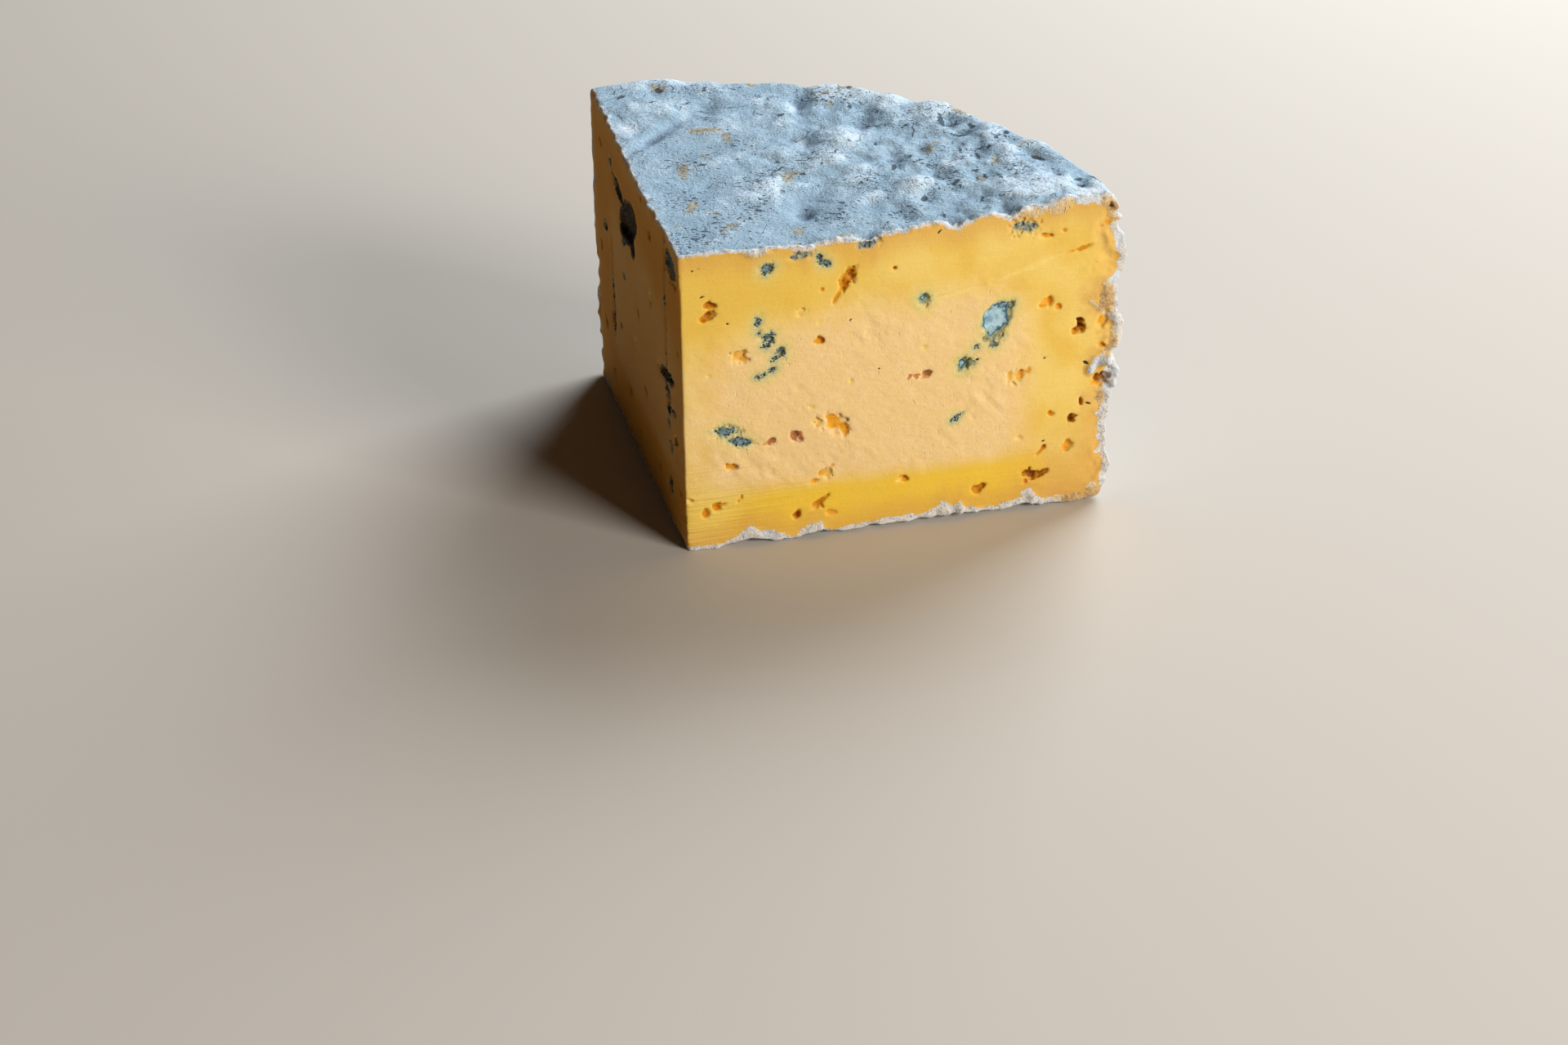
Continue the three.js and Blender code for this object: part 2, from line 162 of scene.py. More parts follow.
# Marks in a cut face by kind: place along the face, height, length, width, turn in degrees, depth
FRONT_MARKS = {
    "pocket": [
        (82.9, 56.3, 8.8, 6.6, 62, 1.3), (81.6, 54, 5, 4, 80, 1), (74.1, 44.1, 2.4, 1.8, 50, 1.2),
        (63.2, 64, 1.9, 1.7, 0, 0.8),
    ],
    "mould": [
        (81.8, 51.8, 4.6, 3, 10, 0.7), (22.6, 77.1, 3.2, 2, 20, 0.8), (36.1, 78.8, 1.4, 1.2, 0, 0.6),
        (37.3, 77, 2.8, 1.4, 160, 0.7), (20, 62.9, 2.4, 1, 80, 0.2), (20, 59.8, 1.1, 0.7, 60, 0.3),
        (22.4, 58, 2.9, 2.6, 0, 0.8), (22, 55.9, 1.8, 0.8, 15, 0.6), (25.7, 53.9, 2.4, 1.5, 60, 1.2),
        (24.1, 52.2, 2.8, 0.8, 50, 0.4), (23.4, 49.2, 1.8, 1.2, 40, 0.5), (21.4, 48.1, 1.5, 0.7, 30, 0.4),
        (19.6, 47.7, 1.3, 0.5, 10, 0.3), (82, 49.1, 2, 1, 170, 0.4), (77.4, 48.8, 1.2, 0.7, 10, 0.3),
        (74.3, 44.3, 3.6, 2.9, 50, 1.4), (76.4, 44.4, 1.6, 0.7, 10, 0.4),
        (11.2, 33.3, 6.4, 2.2, 172, 0.6), (15, 29.9, 6.2, 1.6, 168, 0.5), (72.2, 29.2, 3.6, 0.9, 32, 0.4),
        (86.2, 59.6, 2.2, 1.7, 30, 0.8), (80.6, 51.2, 2.6, 1.3, 30, 0.6), (83.6, 51.6, 2.4, 1.3, 60, 0.6),
        (63.3, 63.8, 2.9, 2.5, 40, 0.8),
    ],
    "spot": [
        (31.3, 79.6, 4.6, 1.4, 5, 0.6), (48.6, 81.1, 5, 2, 12, 0.6), (89.7, 80.7, 5.8, 2.7, 0, 0.6),
    ],
    "speck": [
        (67.4, 82, 1.8, 0.35, 35, 0.4), (77.8, 45.3, 1, 0.5, 10, 0.3), (44.1, 60.6, 0.8, 0.4, 30, 0.3),
        (51.5, 46, 0.5, 0.35, 0, 0.3), (96, 43.3, 0.7, 0.4, 0, 0.4), (96.2, 19.2, 1, 0.5, 20, 0.5),
        (12.1, 63.4, 0.45, 0.35, 0, 0.3), (5.4, 79.2, 1.6, 0.18, 10, 0.2), (3.5, 78.7, 0.4, 0.3, 0, 0.2),
        (5.8, 71.4, 1.4, 0.4, 20, 0.5), (100.1, 84.3, 2.6, 0.2, 95, 0.4),
        (107.3, 40.6, 1.6, 0.5, 150, 0.5), (108.4, 28.7, 1.8, 0.4, 160, 0.4),
    ],
    "eye": [
        (102.4, 72.3, 3.2, 0.5, 12, 0.5), (43.6, 72.2, 6.4, 2.9, 60, 1.6), (40.8, 67.5, 5, 0.8, 57, 0.8),
        (7.6, 68.7, 2.8, 1.9, 5, 1.5), (7.2, 66, 3.4, 1.8, 20, 1.6), (6.1, 65, 1.8, 1.3, 0, 1.2),
        (36.6, 69.6, 1.1, 0.9, 0, 0.8), (55.6, 73.5, 1.2, 0.9, 0, 1), (95.9, 77.5, 3, 0.8, 172, 1),
        (100.4, 78.4, 1.2, 0.7, 0, 0.6), (105.6, 72.9, 3.4, 0.8, 14, 1.2),
        (105.4, 52.5, 1.7, 1.8, 0, 1.8), (105.5, 50.4, 3.2, 2.2, 15, 2), (104, 49.6, 2, 0.8, 15, 1),
        (112, 35.4, 4.2, 3.4, 20, 2.4), (12.5, 23.1, 2.8, 1.6, 175, 1), (36.3, 18, 1.6, 1.6, 30, 1),
        (98.3, 26.9, 1.6, 1.2, 130, 1.2), (103.8, 24.8, 2.4, 2, 50, 1.8), (104.1, 25.8, 0.9, 0.8, 0, 1.6),
        (106.3, 29.1, 2.8, 1, 88, 1.4), (96.3, 17.4, 1.6, 0.9, 55, 1.2), (95.3, 16.2, 2, 0.6, 48, 0.8),
        (92.3, 10.3, 2.8, 2.4, 0, 1.8), (94, 9.3, 3.4, 2.4, 0, 2), (96.3, 9.9, 3, 1.5, 25, 1.6),
        (78.8, 7.9, 3.2, 1.7, 10, 1.4), (80.2, 8.3, 1.3, 0.9, 40, 1), (78.3, 6.9, 1.4, 1.2, 0, 1.2),
        (58.3, 13.4, 2.2, 1.4, 165, 1.1), (35.2, 9.4, 3.4, 1.5, 40, 1.3), (37.3, 10.9, 2.2, 0.9, 40, 0.9),
        (36.2, 8.3, 1.3, 0.7, 130, 0.8), (29.7, 6.9, 2.3, 1.9, 45, 1.4), (8.3, 12.3, 2.3, 2, 60, 1.2),
        (9.8, 12.4, 1.6, 0.8, 0, 0.7), (5.3, 10.6, 2, 1.5, 80, 1.1), (14, 12.9, 1.4, 0.6, 70, 0.8),
        (14.9, 14, 1.1, 0.6, 80, 0.6), (110.3, 78.4, 0.9, 0.8, 0, 1), (112.6, 84.1, 1.1, 0.8, 80, 0.8),
        (36.1, 55.9, 2.2, 1.7, 10, 1.2), (34.5, 55.6, 1.3, 0.7, 20, 0.5),
    ],
    "amber": [
        (16.4, 52.8, 2.2, 1.1, 0, 0.8), (96.5, 58.9, 3, 2.4, 10, 1.4), (94.9, 58.2, 1.8, 1, 5, 0.8),
        (99.5, 57.4, 1.7, 1.2, 20, 1), (111.4, 51.9, 3, 2.4, 60, 1.3), (111.5, 45.1, 1.6, 1, 0, 0.7),
        (109.6, 34.3, 1.3, 0.7, 10, 0.5), (89.7, 39.5, 2.6, 1.4, 90, 1.1),
        (91.7, 40.4, 1.6, 0.8, 80, 0.5), (86.6, 39.4, 1.8, 0.8, 100, 0.5), (40.2, 31.9, 5.6, 4, 140, 0.9),
        (42.4, 30.2, 3, 1.9, 100, 1), (38.6, 33.8, 2.4, 1.5, 0, 0.8), (34.4, 16, 2.2, 0.9, 5, 0.7),
        (102.9, 17, 3.4, 2, 50, 1.2), (91.7, 8, 1.1, 1.4, 0, 0.8), (38.8, 6.2, 3, 1.3, 170, 0.6),
        (39.1, 20.1, 0.8, 0.7, 0, 0.5), (111.9, 79.3, 1.6, 1.4, 0, 0.6),
    ],
    "scratch": [
        (92.8, 69.7, 21, 1.3, 17, 0.5), (72, 64.6, 14, 1, 12, 0.3),
    ],
    "rough": [
        (31.4, 64.4, 2.2, 1.5, 20, 0.6), (15, 54, 3.4, 2.8, 20, 0.8), (7, 49.5, 1, 0.9, 0, 0.4),
        (63.6, 50.6, 1.2, 1.1, 0, 0.4), (88, 38.6, 3, 2.4, 15, 0.6), (35.6, 32.6, 3.2, 2, 150, 0.6),
        (37.8, 17.8, 2.6, 2.4, 30, 0.8), (89.3, 21, 1.5, 1.3, 0, 0.6), (57, 13.2, 1.6, 0.6, 0, 0.3),
        (1.3, 15, 2.2, 0.9, 160, 0.6), (44.2, 43.5, 1.5, 1.2, 0, 0.4), (33.6, 37.3, 1.3, 1, 20, 0.4),
        (36, 60.9, 2, 0.9, 0, 0.3),
    ],
    "red": [
        (64.2, 42.9, 3.2, 1.9, 20, 1.2), (62, 42.5, 2.4, 0.9, 0, 0.7), (59.7, 42.6, 1.3, 0.8, 30, 0.6),
        (22.8, 28.8, 2.4, 1.3, 20, 1), (20.9, 28.4, 1.8, 0.6, 0, 0.4), (29.6, 29.5, 3.2, 2.3, 125, 1.2),
        (30.8, 28.6, 1.2, 1, 0, 0.8),
    ],
}
SIDE_MARKS = {
    "pit": [
        (64.5, 66, 23, 10, -25, 3.4), (59.6, 61.4, 6, 4.6, 0, 1.8),
    ],
    "mould": [
        (77.5, 70.8, 12, 3, 22, 1.2), (72, 57.6, 4.4, 1.3, -10, 0.6), (72.4, 47.2, 2.8, 1.6, -10, 0.8),
        (11.5, 76.2, 12, 4.6, 12, 0.7), (20, 41.8, 19, 3.6, -12, 2), (17.4, 36, 6.6, 5, 75, 1.6),
        (11.2, 34.8, 4, 1.4, -8, 0.6), (18.8, 29, 3.6, 1.6, 0, 0.8), (15.5, 23.4, 2.4, 2.4, 0, 0.8),
        (17.4, 11.4, 4.6, 3.6, 30, 1.6), (89.7, 26.8, 4.6, 3.4, 70, 1.2), (96.4, 52.6, 5, 3, -15, 1.2),
        (112.4, 60.2, 3.4, 2, 0, 0.8), (86.6, 75.2, 3.4, 1.4, 0, 0.5),
    ],
    "track": [
        (18.4, 62.5, 39, 1.9, 90, 1.5), (88.8, 38, 28, 1.9, 90, 1.4),
    ],
    "eye": [
        (9.7, 27.6, 4, 2.4, -20, 2.2), (47.5, 24.2, 3.4, 2, 30, 1.9), (70, 14, 3.6, 1.6, 5, 1.9),
        (101, 21, 3, 2.2, 60, 2.2), (36, 74, 2.6, 1.6, 0, 1.6), (54, 44, 3, 1.3, 40, 1.5),
        (104, 44, 2.8, 1.7, 60, 2.2), (30, 9.6, 2.6, 1.5, 10, 1.7), (56, 7.6, 2.2, 1.3, 160, 1.5),
        (91, 9.4, 3.8, 1.9, 10, 2.3), (4.6, 55, 1.8, 1, 30, 1), (45, 80.6, 2.2, 1.1, 0, 1.2),
        (100, 76, 3, 0.8, 12, 1.2), (5.6, 14.6, 2.2, 1.5, 0, 1.4),
    ],
    "rough": [
        (38, 56, 4.2, 2.6, 20, 1), (60, 33, 3, 2.2, 140, 0.9),
    ],
    "red": [
        (79, 30, 3.4, 1.2, 0, 1),
    ],
}

# Lumps of crust that stand out from the front cut face: place along it, height, length, width,
# turn in degrees, rise
FRONT_CRUST = [
    (17.4, 1.9, 5, 4, 10, 0.9), (22.6, 1.2, 4, 2.4, 0, 0.7), (25, 1.4, 2.4, 2.4, 0, 0.7),
    (33.4, 1.6, 6, 2.8, 15, 0.9), (35.6, 2, 1.6, 3, 0, 0.9), (45, 0.6, 6, 1.6, 0, 0.4),
    (53, 1, 5, 1.8, 0, 0.5), (59, 1.4, 4, 2.4, 0, 0.6), (65.5, 1.4, 3, 2.2, 0, 0.6),
    (69.4, 2.2, 3, 3.2, 0, 0.9), (73.6, 2.4, 2, 3.8, 0, 0.9), (77.5, 1.2, 4, 1.8, 0, 0.5),
    (87, 1, 5, 1.6, 0, 0.4), (93.2, 2.6, 3.4, 4, 0, 0.8), (102, 1.2, 9, 2.4, 0, 0.4),
    (110, 3.4, 4, 3.6, 40, 0.6), (108.9, 38.8, 3.4, 2.8, 58, 1.6), (110.6, 40.8, 3.8, 3, 25, 2.1),
    (113.1, 41, 3.6, 3, -10, 2.2), (115.2, 39.4, 2.8, 3.2, 0, 2), (115.8, 36.8, 2.6, 3.6, 0, 1.6),
    (114.6, 34.2, 2.4, 3, 20, 1.3), (113, 32.2, 2.4, 2.4, 40, 1), (112.6, 26, 2.2, 8, 0, 0.4),
    (112.9, 18.5, 1.8, 7, 0, 0.4), (114, 12, 2, 5, 0, 0.5), (109.6, 56.6, 6, 0.9, -40, 0.5),
    (111.2, 54.6, 6, 0.9, -45, 0.5), (112.9, 57.6, 5, 1, -52, 0.5), (113.8, 54.4, 5, 0.9, -62, 0.5),
    (114.4, 63.2, 3, 2.6, 0, 0.8), (112.8, 60.4, 3, 2.6, 0, 0.7), (112.2, 57.2, 4, 3, 0, 0.8),
    (115.6, 52, 2.2, 5, 0, 0.8), (115, 46.6, 3.4, 4, 0, 0.8), (117, 70, 1.6, 6, 0, 0.5),
    (115.6, 75.5, 2, 4, 0, 0.6), (114.4, 80.2, 2.4, 2.4, 0, 0.9), (113.2, 83.6, 3, 3, 0, 0.7),
    (20.5, 81.8, 6, 2.2, 0, 0.3), (32.3, 81.2, 4.6, 2.4, 0, 0.3), (39.5, 82.3, 5, 1.5, 0, 0.2),
    (46, 82.8, 4, 1.4, 0, 0.2), (50.6, 83, 2.4, 2, 0, 0.2), (57.5, 83.8, 6, 1.2, 0, 0.2),
    (70.4, 83.2, 2.2, 1.6, 0, 0.2), (73.4, 83.6, 2, 2, 0, 0.2), (81, 85.4, 6, 1.2, 0, 0.2),
    (88.4, 83.9, 4, 1.6, 20, 0.2), (92.4, 84, 3.4, 3, 0, 0.3), (98.5, 84.6, 6, 3, 8, 0.3),
    (104, 86, 4, 1.6, 0, 0.2), (110, 85.4, 5, 2.4, -20, 0.2),
]


def drawer(seed):
    """The small congruential generator that places the lumps of the rind."""
    state = seed
    while True:
        state = (state * 1664525 + 1013904223) % 4294967296
        yield state / 4294967296


def draw_lumps(count, seed, across, up, smallest, largest, height):
    """Random round lumps over a rectangle: place, half size and height of each."""
    draw = drawer(seed)
    lumps = []
    for _ in range(count):
        x, y = next(draw) * across, next(draw) * up
        size = smallest + (largest - smallest) * next(draw)
        lumps.append((x, y, size, height * (2 * next(draw) - 1)))
    return lumps


def sum_of_lumps(lumps, x, y):
    """The height that round lumps add at points."""
    total = 0.0
    for cx, cy, size, height in lumps:
        total = total + height * np.exp(-((x - cx) ** 2 + (y - cy) ** 2) / size**2)
    return total


def smooth(start, end, value):
    """0 at start, 1 at end, and smooth between them."""
    share = np.clip((value - start) / (end - start), 0.0, 1.0)
    return share * share * (3.0 - 2.0 * share)


NOISE_CELLS = 64


def noise(seed, *places):
    """Smooth random values from -1 to 1 at points given in cells, in two or three dimensions."""
    shape = (NOISE_CELLS,) * len(places)
    table = np.random.default_rng(seed).uniform(-1, 1, shape).astype(np.float32)
    cells = [np.floor(place).astype(np.int32) for place in places]
    shares = [smooth(0, 1, place - cell) for place, cell in zip(places, cells)]
    total = 0.0
    for corner in itertools.product((0, 1), repeat=len(places)):
        weight = 1.0
        for step, share in zip(corner, shares):
            weight = weight * (share if step else 1.0 - share)
        index = tuple((cell + step) % NOISE_CELLS for step, cell in zip(corner, cells))
        total = total + weight * table[index]
    return total


OCTAVE_TURN = math.radians(37)


def crinkle(seed, size, octaves, x, y):
    """Fractal relief over a plane, its largest waves about size across, turned at each octave."""
    total, strength = 0.0, 1.0
    for octave in range(octaves):
        c, s = math.cos(octave * OCTAVE_TURN), math.sin(octave * OCTAVE_TURN)
        total = total + strength * noise(seed + octave, (c * x - s * y) / size, (s * x + c * y) / size)
        size, strength = size / 2, strength / 2
    return total


class Relief:
    """A height over a rectangle, kept at even steps and read between them."""

    STEP = 0.4

    def __init__(self, across, up, height):
        self.across, self.up = across, up
        u = np.arange(across[0], across[1] + self.STEP, self.STEP, dtype=np.float32)
        v = np.arange(up[0], up[1] + self.STEP, self.STEP, dtype=np.float32)
        self.heights = height(u[:, None], v[None, :]).astype(np.float32)

    def at(self, u, v):
        rows, columns = self.heights.shape
        a = np.clip((u - self.across[0]) / self.STEP, 0, rows - 1.001)
        b = np.clip((v - self.up[0]) / self.STEP, 0, columns - 1.001)
        i, j = a.astype(np.int32), b.astype(np.int32)
        a, b = a - i, b - j
        low = self.heights[i, j] * (1 - b) + self.heights[i, j + 1] * b
        high = self.heights[i + 1, j] * (1 - b) + self.heights[i + 1, j + 1] * b
        return low * (1 - a) + high * a


def plain_top(radius):
    """Height of the top rind without its relief."""
    return CENTRE_HEIGHT + (RIM_HEIGHT - CENTRE_HEIGHT) * smooth(RISE_START, WHEEL_RADIUS, radius)


def top_height(x, y):
    """Height of the top rind."""
    radius = np.hypot(x, y)
    height = plain_top(radius)
    lumps = draw_lumps(TOP_LUMPS, LUMP_SEED + 1, WHEEL_RADIUS, WHEEL_RADIUS, 2.6, 6, 0.75)
    height = height + sum_of_lumps(lumps, x, y) * (0.35 + 0.65 * smooth(20, 90, radius))
    for cx, cy, half_length, half_width, turn, rise in TOP_RELIEF:
        c, s = math.cos(math.radians(turn)), math.sin(math.radians(turn))
        along = (x - cx) * c + (y - cy) * s
        across = (y - cy) * c - (x - cx) * s
        height = height + 0.95 * rise * np.exp(-((along / half_length) ** 2) - (across / half_width) ** 2)
    crest = np.interp(np.degrees(np.arctan2(y, x)), *zip(*RIM_CREST))
    height = height + crest * np.exp(-(((radius - WHEEL_RADIUS) / 7) ** 2))
    towards_rim = 0.35 + 0.65 * smooth(25, 95, radius)
    billows = np.abs(crinkle(31, 8.0, 2, x, y))
    folds = 0.34 * crinkle(35, 5.0, 2, x, y) + 0.2 * crinkle(41, 1.6, 2, x, y)
    calm = towards_rim * (1 - 0.35 * smooth(98, 112, radius))
    calm = calm * (1.15 - 0.55 * smooth(40, 75, np.degrees(np.arctan2(y, x))))
    torn_edge = np.maximum(smooth(3, 0.5, y), 0.8 * smooth(2.6, 0.4, x) * smooth(6, 16, y))
    ragged = torn_edge * (0.3 * crinkle(45, 1.2, 2, x, y) + 0.3 * crinkle(46, 2.8, 2, x, y))
    return height + calm * (0.7 * billows + folds - 0.25) + ragged


def rim_radius(arc, height):
    """Radius of the curved rim at a length round it and a height."""
    radius = WHEEL_RADIUS + BARREL * np.sin(np.pi * np.clip(height / RIM_HEIGHT, 0, 1))
    quarter = WHEEL_RADIUS * math.pi / 2
    lumps = draw_lumps(RIM_LUMPS, LUMP_SEED, quarter, RIM_HEIGHT, 3.5, 9, 1.7)
    radius = radius + sum_of_lumps(lumps, arc, height) * smooth(0, BESIDE_CUT_REACH, arc)
    for middle, half_height, depth in RIM_BESIDE_CUT:
        bell = np.exp(-(((height - middle) / half_height) ** 2) - (arc / BESIDE_CUT_REACH) ** 2)
        radius = radius + depth * bell
    for middle, half_height, depth in RIM_FLAKES:
        radius = radius + depth * np.exp(-(((height - middle) / half_height) ** 2) - (arc / FLAKE_REACH) ** 2)
    ragged = 0.3 + 0.7 * smooth(80, 50, height)
    fine = 0.42 * crinkle(51, 5.0, 3, arc, height) + 0.2 * crinkle(61, 1.7, 2, arc, height)
    beside_cut = 0.22 * crinkle(65, 1.3, 2, arc, height) * smooth(7, 1, arc)
    return radius + ragged * fine + beside_cut


def ellipse_reach(row, x, y):
    """1 on the outline of an ellipse, less inside it."""
    cx, cy, length, width, turn = row[:5]
    c, s = math.cos(math.radians(turn)), math.sin(math.radians(turn))
    u, v = (x - cx) * c + (y - cy) * s, (y - cy) * c - (x - cx) * s
    return np.hypot(2 * u / length, 2 * v / width)


def core_share(along, height):
    """1 in the pale core of the paste and 0 in the darker paste under the rind."""
    below = smooth(10.5, 22, height)
    above = smooth(8, 32, 84 - height - 7 * smooth(50, 5, along))
    outside = smooth(12, 34, WHEEL_RADIUS - along) * (0.45 + 0.55 * smooth(-4, 22, along))
    return below * above * outside


def crust_lump(lump, along, height):
    """1 in the middle of a lump of crust, falling to 0 outside it."""
    return np.exp(-ellipse_reach(lump, along, height) ** 3)


def crust_lumps(along, height):
    """How far the lumps of crust stand out from the front face."""
    crumple = 0.75 + 0.55 * crinkle(71, 2.4, 3, along, height)
    total = 0.0
    for lump in FRONT_CRUST:
        total = np.maximum(total, lump[5] * crust_lump(lump, along, height))
    return total * crumple


def crust_reach(along, height):
    """Distance into the crust that the front cut face shows, more than 0 inside it."""
    top = height - plain_top(along) + np.interp(along, *zip(*TOP_CRUST))
    base = np.interp(along, *zip(*BASE_CRUST)) - height
    rim = along - WHEEL_RADIUS - 1 + np.interp(height, *zip(*RIM_CRUST))
    return np.maximum(np.maximum(top, base), rim)


def paste_relief(seed, along, height):
    """Waves, torn streaks, crumbs and knife lines of the cut paste."""
    core = core_share(along, height)
    waves = 0.16 * crinkle(seed, 14, 2, along, height)
    u, v = 0.64 * along - 0.77 * height, 0.77 * along + 0.64 * height
    torn = crinkle(seed + 5, 1.9, 3, u * 0.4, v)
    grouped = smooth(-0.15, 0.45, noise(seed + 9, along / 10, height / 8))
    grains = noise(seed + 8, along / 1.15, height / 1.15)
    raised = smooth(0.5, 0.85, grains) * (0.06 + 0.14 * grouped)
    pitted = smooth(0.5, 0.85, -grains) * (0.06 + 0.12 * grouped)
    chalky = (0.2 + 0.8 * core) * ((0.05 + 0.14 * grouped) * torn - 0.6 * raised + pitted)
    lines = noise(seed + 11, along / 30, height / 0.9)
    lines = 0.09 * lines * smooth(45, 5, along) * smooth(40, 10, height)
    return waves + chalky + lines


def front_relief(along, height):
    """How far the front cut face lies back from its plane."""
    crumbly = 0.0
    for row in FRONT_CRUMBLES:
        crumbly = np.maximum(crumbly, np.exp(-ellipse_reach(row, along, height) ** 2))
    crumbly = crumbly * (0.35 * crinkle(121, 2.2, 3, along, height) + 0.1 * crinkle(122, 1.2, 2, along, height))
    for row in FRONT_NICKS:
        share = np.exp(-ellipse_reach(row, along, height) ** 2)
        wander = 0.5 * noise(125, along / 2.5, height / 2.5)
        crumbly = crumbly + 0.1 * share * np.sin(2 * np.pi * (along / NICK_SPACING + wander))
    torn = crinkle(114, 3.2, 3, along, height)
    rim_edge = smooth(7.5, 0.5, WHEEL_RADIUS + 1 - along) * (0.45 + 0.9 * torn)
    crust = smooth(-0.5, 0.5, crust_reach(along, height))
    crust = crust * (0.4 * crinkle(118, 2.0, 3, along, height) + 0.25 * crinkle(119, 1.1, 2, along, height) - 0.1)
    base_edge = smooth(3.2, 0.3, height) * (-0.15 + 0.4 * crinkle(117, 5, 3, along, height))
    base_edge = base_edge * smooth(2, 10, along)
    relief = paste_relief(101, along, height) + crumbly + rim_edge + crust + base_edge
    return relief - crust_lumps(along, height)


def side_relief(along, height):
    """How far the side cut face lies back from its plane."""
    torn = crinkle(214, 3.2, 3, along, height)
    rim_edge = smooth(7.5, 0.5, WHEEL_RADIUS + 1 - along) * (0.45 + 0.9 * torn)
    rim_edge = rim_edge * (0.25 + 0.75 * smooth(48, 34, height))
    base_edge = smooth(3.2, 0.3, height) * (-0.15 + 0.4 * crinkle(217, 5, 3, along, height))
    top_edge = smooth(2.6, 0.4, plain_top(along) - height) * 0.45 * crinkle(218, 2.4, 3, along, height)
    return paste_relief(201, along, height) + rim_edge + base_edge + top_edge * smooth(4, 14, along)


TOP = Relief((-4, 122), (-4, 122), top_height)
RIM = Relief((-4, 184), (-3, 93), rim_radius)
FRONT = Relief((-4, 122), (-3, 93), front_relief)
SIDE = Relief((-4, 122), (-3, 93), side_relief)


def round_max(a, b, corner):
    """The larger of two distances, with the corner between them rounded to a radius."""
    a, b = a + corner, b + corner
    return np.minimum(np.maximum(a, b), 0) + np.hypot(np.maximum(a, 0), np.maximum(b, 0)) - corner


def base_lift(x, y):
    """Height of the base above the floor."""
    return np.interp(x, *zip(*BASE_LIFT)) * np.exp(-((y / BASE_LIFT_REACH) ** 2))


def skin_distances(x, y, z):
    """Distances outside the top, the rim and the base of the uncut wheel."""
    radius = np.hypot(x, y)
    arc = np.arctan2(y, x) * WHEEL_RADIUS
    top = z - TOP.at(x, y)
    rim = radius - RIM.at(arc, z)
    base = base_lift(x, y) - z
    return top, rim, base


def grid_axes():
    """The steps of the grid: fine along and up the front face, coarser far behind it."""
    along = np.arange(-1.8, 120.0, 0.45)
    up = np.arange(-1.1, 91.0, 0.45)
    near = np.arange(-3.0, 7.0, 0.45)
    far = np.arange(near[-1] + 0.6, 120.0, 0.72)
    return along.astype(np.float32), np.concatenate([near, far]).astype(np.float32), up.astype(np.float32)


def wedge_field(x, y, z):
    """The field of the wedge before its marks are opened, over a whole grid."""
    plan_x, plan_y = np.meshgrid(x, y, indexing="ij")
    top = z[None, None, :] - TOP.at(plan_x, plan_y)[:, :, None]
    radius = np.hypot(plan_x, plan_y)
    rim = np.repeat((radius - WHEEL_RADIUS)[:, :, None], len(z), axis=2)
    near_rim = radius > WHEEL_RADIUS - 9
    arc = (np.arctan2(plan_y, plan_x) * WHEEL_RADIUS)[near_rim]
    rim[near_rim] = radius[near_rim][:, None] - RIM.at(arc[:, None], z[None, :])
    field = round_max(rim, top, TOP_CORNER)
    base = base_lift(plan_x, plan_y)[:, :, None] - z[None, None, :]
    field = round_max(field, base, BASE_CORNER)
    front = FRONT.at(x[:, None], z[None, :])[:, None, :] - y[None, :, None]
    side = SIDE.at(y[:, None], z[None, :])[None, :, :] - x[:, None, None]
    cut = round_max(front, side, CUT_CORNER)
    return round_max(field, cut, SKIN_CORNER)


# How rough each kind of mark is: share of its width, size of the roughness, sharpness of its lip
MARK_ROUGHNESS = {
    "eye": (0.65, 0.85, 0.15),
    "amber": (0.6, 0.9, 0.25),
    "mould": (0.6, 0.7, 0.3),
    "spot": (0.8, 0.6, 0.2),
    "speck": (0.3, 0.6, 0.1),
    "track": (0.35, 1.3, 0.3),
    "rough": (0.65, 0.7, 0.15),
    "red": (0.5, 0.8, 0.3),
    "scratch": (0.2, 2.0, 0.15),
    "pocket": (0.1, 1.8, 0.4),
    "pit": (0.25, 2.0, 0.5),
}


MARK_SWELL = 0.3
MARK_SEED = 1000


def mark_distance(mark, along, height, depth):
    """Distance outside a mark's hollow, for points of a cut face or behind it."""
    _, _, length, width, _, deep = mark
    reach = np.sqrt(ellipse_reach(mark, along, height) ** 2 + (depth / deep) ** 4)
    return (reach - 1) * min(length / 2, width / 2, deep)


def open_mark(field, axes, kind, mark, side, seed):
    """Opens the hollow of one mark in the field."""
    centre, middle, length, width, _, deep = mark
    rough, size, lip = MARK_ROUGHNESS[kind]
    reach = length / 2 + 1.5
    spans = [(centre - reach, centre + reach), (-9, deep + 1.5), (middle - reach, middle + reach)]
    if side:
        spans = [spans[1], spans[0], spans[2]]
    window = tuple(
        slice(*np.searchsorted(axis, span)) for axis, span in zip(axes, spans)
    )
    x, y, z = np.meshgrid(*(axis[part] for axis, part in zip(axes, window)), indexing="ij")
    along, depth = (y, x) if side else (x, y)
    distance = mark_distance(mark, along, z, depth)
    bumps = noise(seed, x / size, y / size, z / size) + 0.5 * noise(seed + 1, 2 * x / size, 2 * y / size, 2 * z / size)
    distance = distance + rough * min(width, 3.0) / 2 * (bumps - MARK_SWELL)
    field[window] = round_max(field[window], -distance, lip)


FILLED = -0.02


